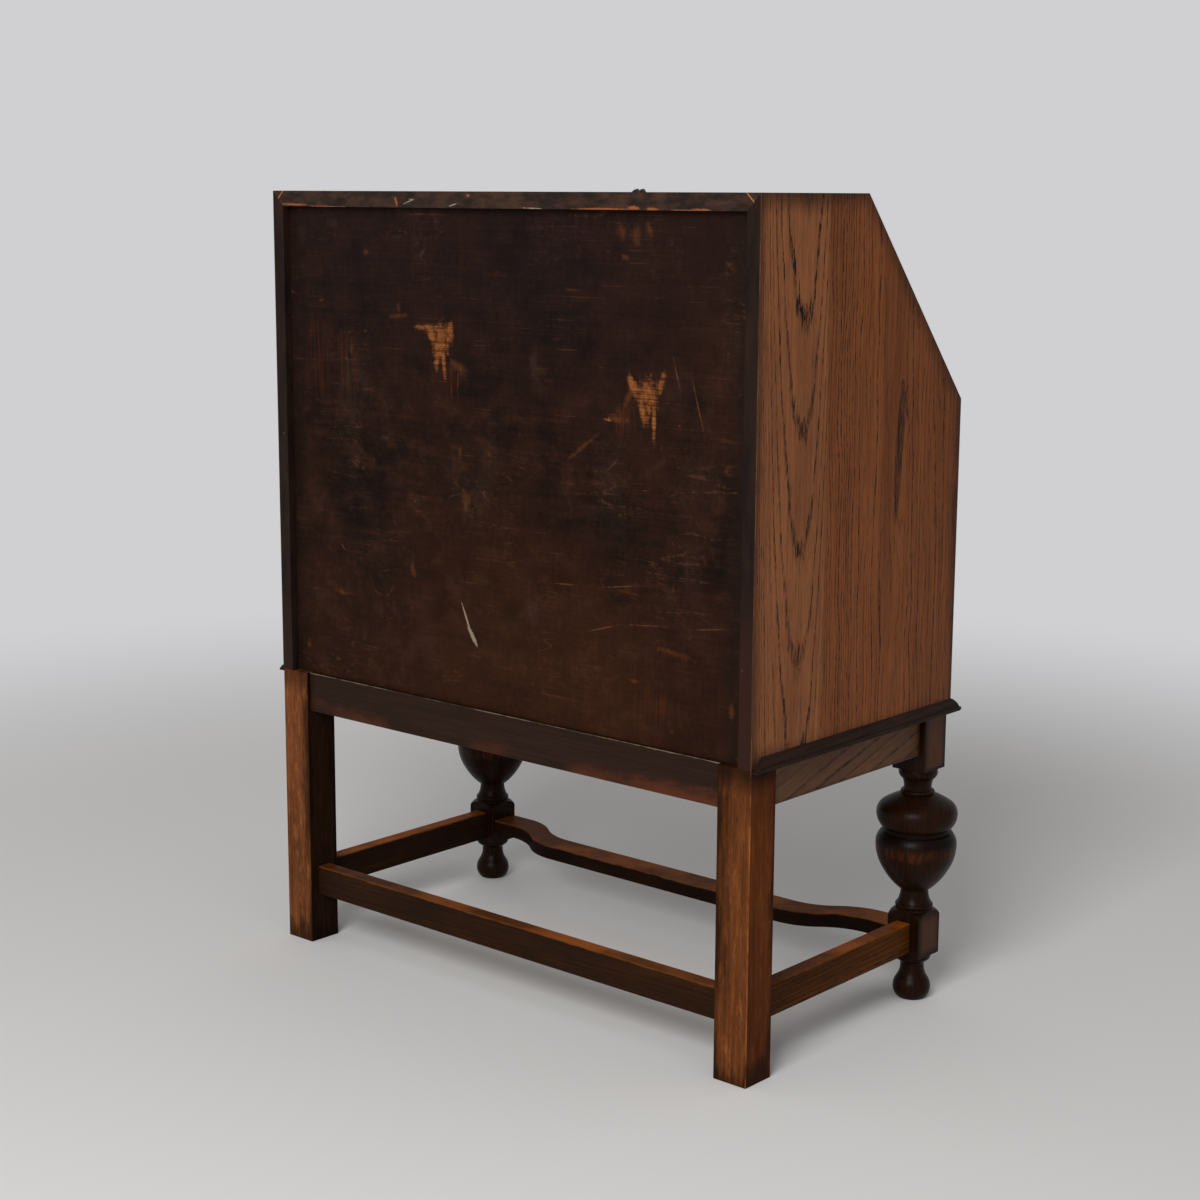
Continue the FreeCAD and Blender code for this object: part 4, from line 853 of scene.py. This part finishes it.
def finish_boards():
    """Plain boards: the node, the way of its grain, the way across it and its stain."""
    low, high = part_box("fall_panel")
    fall_up = Vector((0, high.y - low.y, high.z - low.z)).normalized()
    boards = [
        ("frieze_rail", X, Z, RED_CASE), ("upper_blade", X, Y, RED_CASE),
        ("middle_blade", X, Y, RED_CASE), ("loper_guides", Y, Z, RED_CASE),
        ("fall_panel", X, fall_up, CASE), ("left_loper", Y, Z, CASE), ("right_loper", Y, Z, CASE),
        ("left_loper_knob", Y, Z, TURNED), ("right_loper_knob", Y, Z, TURNED),
        ("upper_drawer_front", X, Z, CASE), ("lower_drawer_front", X, Z, CASE),
        ("bottom_board", X, Y, INNER), ("upper_runners", Y, X, INNER), ("lower_runners", Y, X, INNER),
        ("writing_bed", X, Y, INNER), ("rack_shelf", X, Y, INNER), ("upper_dividers", Z, Y, INNER),
        ("lower_dividers", Z, Y, INNER), ("fall_stops", fall_up, Y, INNER),
        ("left_moulding", Y, Z, MOULDING), ("right_moulding", Y, Z, MOULDING),
        ("front_moulding", X, Z, MOULDING), ("front_rail", X, Z, DARK_RAIL),
    ]
    for drawer in ("upper", "lower"):
        boards.append((f"{drawer}_drawer_sides", Y, Z, DRAWER))
        boards.append((f"{drawer}_drawer_back", X, Z, DRAWER))
        boards.append((f"{drawer}_drawer_bottom", X, Y, DRAWER))
    for number, (node, along, across, stain) in enumerate(boards):
        low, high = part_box(node)
        middle = (low + high) / 2
        seed = 1.0 + 0.37 * number
        heart = middle.dot(across) + HEART_SWING * math.sin(7.0 * seed)
        taper = TAPER_SWING * math.cos(5.0 * seed)
        cut = Cut(along, across, heart=heart, depth=0.05, face=middle.dot(along.cross(across)),
                  taper=taper, ring=0.007, uneven=0.15, band=0.34, seed=seed)
        shine = DULL if stain is MOULDING else WAXED
        seam = SEAM if node in SLIDING else 0.0
        dress(node, oak(node, cut, stain, (low, high), shine=shine, seam=seam))


# Rise of the side rails' grain to the front, in degrees
RAIL_GRAIN_RISE = 16


def finish_side_rails():
    """Side rails, cut with their grain rising to the front."""
    rise = math.radians(RAIL_GRAIN_RISE)
    along = Vector((0, -math.cos(rise), math.sin(rise)))
    across = Vector((0, math.sin(rise), math.cos(rise)))
    for number, node in enumerate(("left_rail", "right_rail")):
        low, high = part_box(node)
        middle = (low + high) / 2
        cut = Cut(along, across, heart=middle.dot(across) - 0.16, depth=0.05,
                  face=middle.dot(along.cross(across)), taper=0.03, ring=0.0165, uneven=0.45, band=0.26,
                  seed=20.0 + number)
        dress(node, oak(node, cut, RAIL, (low, high), 1.0))


def finish_nodes():
    """Gives every CAD node its finish and adds the fastenings."""
    finish_boards()
    finish_side_rails()
    finishes = [
        ("left_side", side_finish, 0.0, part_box("left_side")[0].x, 1.0),
        ("right_side", side_finish, 3.0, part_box("right_side")[1].x, 0.0),
        ("top_board", top_finish), ("back_panel", panel_finish), ("back_rail", rail_finish),
        ("left_rear_leg", leg_finish, 11.0, LEG, 1.0),
        ("right_rear_leg", leg_finish, 12.0, PALE_LEG, 0.3),
        ("left_front_leg", turned_finish, 13.0), ("right_front_leg", turned_finish, 14.0),
        ("left_stretcher", stretcher_finish, 5.0, Y, X, 0.8),
        ("right_stretcher", stretcher_finish, 6.0, Y, -X, 0.8),
        ("rear_stretcher", stretcher_finish, 7.0, X, Vector(), 0.82, REAR_SHADE_AND_SOIL, 0.55),
        ("front_stretcher", stretcher_finish, 8.0, X, Y, 0.97),
    ]
    for node, finish, *details in finishes:
        dress(node, finish(node, *details))
    brass = brass_finish()
    for subpart in frame["record"]["subparts"]:
        if subpart["material_slot"] == "brass":
            dress(subpart["node"], brass)
    iron = iron_finish()
    dress("key", iron)
    build_fastenings(brass, iron)


# Small fastenings: sizes of heads, and their places on hinges, lock, plates and rear edges, in metres
HINGE_HALF = 0.025
HINGE_SCREWS = ((-0.017, 0.013), (0.0, 0.020), (0.017, 0.013))
SCREW_RADIUS = 0.0028
SCREW_RISE = 0.0005
SLOT_HALF = 0.00045
PIN_RADIUS = 0.0014
PIN_RISE = 0.0009
ROUND_SIDES = 24
LOCK_SCREW_LOW = 0.008
LOCK_SCREW_HIGH = 0.014
LOCK_SCREW_ASIDE = 0.007
KEY_PLATE_PIN = 0.0155
HANDLE_PIN_SHARE = 0.72
HANDLE_PLATE_FACE = 0.0016
NAILS = ((0.3701, 0.6679), (-0.3664, 0.4689))
NAIL_SUNK = 0.0002


def circle(radius):
    """Points of a circle around the origin."""
    angles = [2 * math.pi * step / ROUND_SIDES for step in range(ROUND_SIDES)]
    return [(radius * math.cos(a), radius * math.sin(a)) for a in angles]


def wall(shape, lower, upper):
    """Joins two rings of points with faces."""
    for here in range(len(lower)):
        after = (here + 1) % len(lower)
        shape.faces.new((lower[here], lower[after], upper[after], upper[here]))


def prism(shape, outline, low, high, draw_in=1.0):
    """Adds a block with the given outline to a shape, its top drawn in a little."""
    foot = [shape.verts.new((x, y, low)) for x, y in outline]
    head = [shape.verts.new((x * draw_in, y * draw_in, high)) for x, y in outline]
    shape.faces.new(head)
    shape.faces.new(list(reversed(foot)))
    wall(shape, foot, head)


def screw_head(shape):
    """A countersunk head with a slot: a flat disc with two half rounds on it."""
    prism(shape, circle(SCREW_RADIUS), -SCREW_RISE, 0.2 * SCREW_RISE)
    reach = math.asin(SLOT_HALF / SCREW_RADIUS)
    for start in (0.0, math.pi):
        arc = [start + reach + (math.pi - 2 * reach) * step / (ROUND_SIDES // 2)
               for step in range(ROUND_SIDES // 2 + 1)]
        half_round = [(SCREW_RADIUS * math.cos(a), SCREW_RADIUS * math.sin(a)) for a in arc]
        prism(shape, half_round, 0.2 * SCREW_RISE, SCREW_RISE, 0.93)


def pin_head(shape):
    """A small domed head with a flat rim."""
    levels = ((1.0, 0.0), (0.94, 0.35), (0.72, 0.72), (0.38, 0.94))
    rings = []
    for width, height in levels:
        rings.append([shape.verts.new((x, y, PIN_RISE * height)) for x, y in circle(PIN_RADIUS * width)])
    for lower, upper in zip(rings, rings[1:]):
        wall(shape, lower, upper)
    shape.faces.new(rings[-1])


def fasten(name, body, material, head, places):
    """One piece of several heads; each place is a point, the way it faces and the turn of its slot."""
    shape = bmesh.new()
    for point, facing, turn in places:
        before = len(shape.verts)
        head(shape)
        shape.verts.ensure_lookup_table()
        pose = facing.to_track_quat("Z", "Y").to_matrix().to_4x4() @ Matrix.Rotation(turn, 4, "Z")
        bmesh.ops.transform(shape, matrix=Matrix.Translation(point) @ pose, verts=shape.verts[before:])
    mesh = bpy.data.meshes.new(name)
    shape.to_mesh(mesh)
    shape.free()
    mesh.materials.append(material)
    piece = bpy.data.objects.new(name, mesh)
    bpy.context.scene.collection.objects.link(piece)
    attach(piece, body)


def reach_of(node, direction):
    """How far a node goes along a direction, from its least to its greatest."""
    spans = [corner.co.dot(direction) for corner in frame["nodes"][node].data.vertices]
    return min(spans), max(spans)


def build_fastenings(brass, iron):
    """Screws of the hinges and the lock, pins of the plates, and two nails in the rear edges."""
    pin_low, pin_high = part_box("hinge_pins")
    axis = (pin_low + pin_high) / 2
    upward = [face for face in frame["nodes"]["fall_panel"].data.polygons if face.normal.z > 0.1]
    fall_out = max(upward, key=lambda face: face.area).normal.copy()
    fall_up = Vector((0, fall_out.z, -fall_out.y))
    middles = [sign * (pin_high.x - HINGE_HALF) for sign in (-1, 1)]
    on_bed, on_fall = [], []
    for middle in middles:
        for number, (aside, reach) in enumerate(HINGE_SCREWS):
            # Slots stand at odd angles, as screws are left
            turn = 0.9 * number + 5.0 * middle
            on_bed.append((axis + X * (middle + aside) + Y * reach, Z, turn))
            on_fall.append((axis + X * (middle + aside) + fall_up * reach, -fall_out, turn + 0.6))
    fasten("bed_hinge_screws", "carcass", brass, screw_head, on_bed)
    fasten("fall_hinge_screws", "fall", brass, screw_head, on_fall)

    case_up, case_out = reach_of("lock_case", fall_up), reach_of("lock_case", fall_out)
    case_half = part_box("lock_case")[1].x
    lock_places = []
    for aside in (-1, 1):
        for up in (case_up[0] + LOCK_SCREW_LOW, case_up[1] - LOCK_SCREW_HIGH):
            place = X * aside * (case_half - LOCK_SCREW_ASIDE) + fall_up * up + fall_out * case_out[0]
            lock_places.append((place, -fall_out, 1.3 * aside + 20 * up))
    fasten("lock_screws", "fall", brass, screw_head, lock_places)

    plate_up, plate_out = reach_of("escutcheon", fall_up), reach_of("escutcheon", fall_out)
    plate_middle = (plate_up[0] + plate_up[1]) / 2
    pins = [(fall_up * (plate_middle + side * KEY_PLATE_PIN) + fall_out * plate_out[1], fall_out, 0.0)
            for side in (-1, 1)]
    fasten("escutcheon_pins", "fall", brass, pin_head, pins)

    for drawer in ("upper", "lower"):
        low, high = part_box(f"{drawer}_handle_plates")
        radius = (high.z - low.z) / 2
        pins = []
        for hand in (-1, 1):
            for side in (-1, 1):
                x = hand * (high.x - radius) + side * HANDLE_PIN_SHARE * radius
                pins.append((Vector((x, high.y - HANDLE_PLATE_FACE, (low.z + high.z) / 2)), -Y, 0.0))
        fasten(f"{drawer}_handle_pins", f"{drawer}_drawer", brass, pin_head, pins)

    nails = [(Vector((x, back_plane - NAIL_SUNK, z)), Y, 0.0) for x, z in NAILS]
    fasten("edge_nails", "carcass", iron, pin_head, nails)


# Stage, light and camera
BACKDROP = paint(208, 208, 211)
FLOOR = paint(222, 220, 218)
FLOOR_RADIUS = 9.0
FLOOR_SIDES = 96
FLOOR_DROP = 0.0004
FLOOR_FADE = (0.9, 2.6)


def build_stage():
    """A pale floor that fades into the backdrop's colour away from the object."""
    mesh = bpy.data.meshes.new("floor")
    shape = bmesh.new()
    bmesh.ops.create_circle(shape, cap_ends=True, segments=FLOOR_SIDES, radius=FLOOR_RADIUS)
    shape.to_mesh(mesh)
    shape.free()
    floor = bpy.data.objects.new("floor", mesh)
    floor.location.z = -FLOOR_DROP
    bpy.context.scene.collection.objects.link(floor)
    finish = Finish("floor")
    reach = (finish.x * finish.x + finish.y * finish.y).root()
    matt = finish.add("ShaderNodeBsdfDiffuse")
    finish.feed(matt.inputs["Color"], FLOOR)
    glow = finish.add("ShaderNodeEmission")
    finish.feed(glow.inputs["Color"], BACKDROP)
    ray = finish.add("ShaderNodeLightPath")
    seen = finish.math("MAXIMUM", ray.outputs["Is Camera Ray"], ray.outputs["Is Glossy Ray"])
    far = reach.rise(*FLOOR_FADE) * seen
    out = finish.add("ShaderNodeOutputMaterial")
    finish.feed(out.inputs["Surface"], finish.blend(far, matt, glow))
    mesh.materials.append(finish.material)


AMBIENT = 0.50
KEY_LIGHT = 90.0
KEY_SIZE = 1.6
KEY_PLACE = Vector((-1.15, 2.9, 2.3))
AIM = Vector((0.0, 0.0, 0.5))


def build_light():
    """An even pale surround and one large soft lamp from behind the camera's left shoulder."""
    world = bpy.data.worlds.new("surround")
    bpy.context.scene.world = world
    nodes = Nodes(world)
    even = nodes.add("ShaderNodeBackground")
    nodes.feed(even.inputs["Strength"], AMBIENT)
    pale = nodes.add("ShaderNodeBackground")
    nodes.feed(pale.inputs["Color"], BACKDROP)
    ray = nodes.add("ShaderNodeLightPath")
    seen = nodes.math("MAXIMUM", ray.outputs["Is Camera Ray"], ray.outputs["Is Transmission Ray"])
    out = nodes.add("ShaderNodeOutputWorld")
    nodes.feed(out.inputs["Surface"], nodes.blend(seen, even, pale))
    lamp = bpy.data.lights.new("soft_lamp", "AREA")
    lamp.energy = KEY_LIGHT
    lamp.size = KEY_SIZE
    lamp_object = bpy.data.objects.new("soft_lamp", lamp)
    lamp_object.location = KEY_PLACE
    lamp_object.rotation_euler = (AIM - KEY_PLACE).to_track_quat("-Z", "Y").to_euler()
    bpy.context.scene.collection.objects.link(lamp_object)


CAMERA_PLACE = Vector((-1.74422, 2.00708, 0.96743))
CAMERA_YAW = 0.7201
CAMERA_PITCH = 0.1846
CAMERA_ROLL = 0.005
SENSOR = 36.0
PHOTO_PIXELS = 1200
FOCAL_PIXELS = 2172.62


def build_camera():
    """The photograph's camera, as its straight edges give it."""
    view = Vector((math.sin(CAMERA_YAW) * math.cos(CAMERA_PITCH),
                   -math.cos(CAMERA_YAW) * math.cos(CAMERA_PITCH), -math.sin(CAMERA_PITCH)))
    right = view.cross(Z).normalized()
    up = right.cross(view)
    turn = Matrix.Rotation(-CAMERA_ROLL, 3, view)
    right, up = turn @ right, turn @ up
    camera = bpy.data.cameras.new("camera")
    camera.sensor_fit = "HORIZONTAL"
    camera.sensor_width = SENSOR
    camera.lens = SENSOR * FOCAL_PIXELS / PHOTO_PIXELS
    pose = Matrix((right, up, -view)).transposed().to_4x4()
    pose.translation = CAMERA_PLACE
    camera_object = bpy.data.objects.new("camera", camera)
    camera_object.matrix_world = pose
    bpy.context.scene.collection.objects.link(camera_object)
    bpy.context.scene.camera = camera_object


finish_nodes()
build_stage()
build_light()
build_camera()
bpy.context.scene.view_settings.view_transform = "Standard"
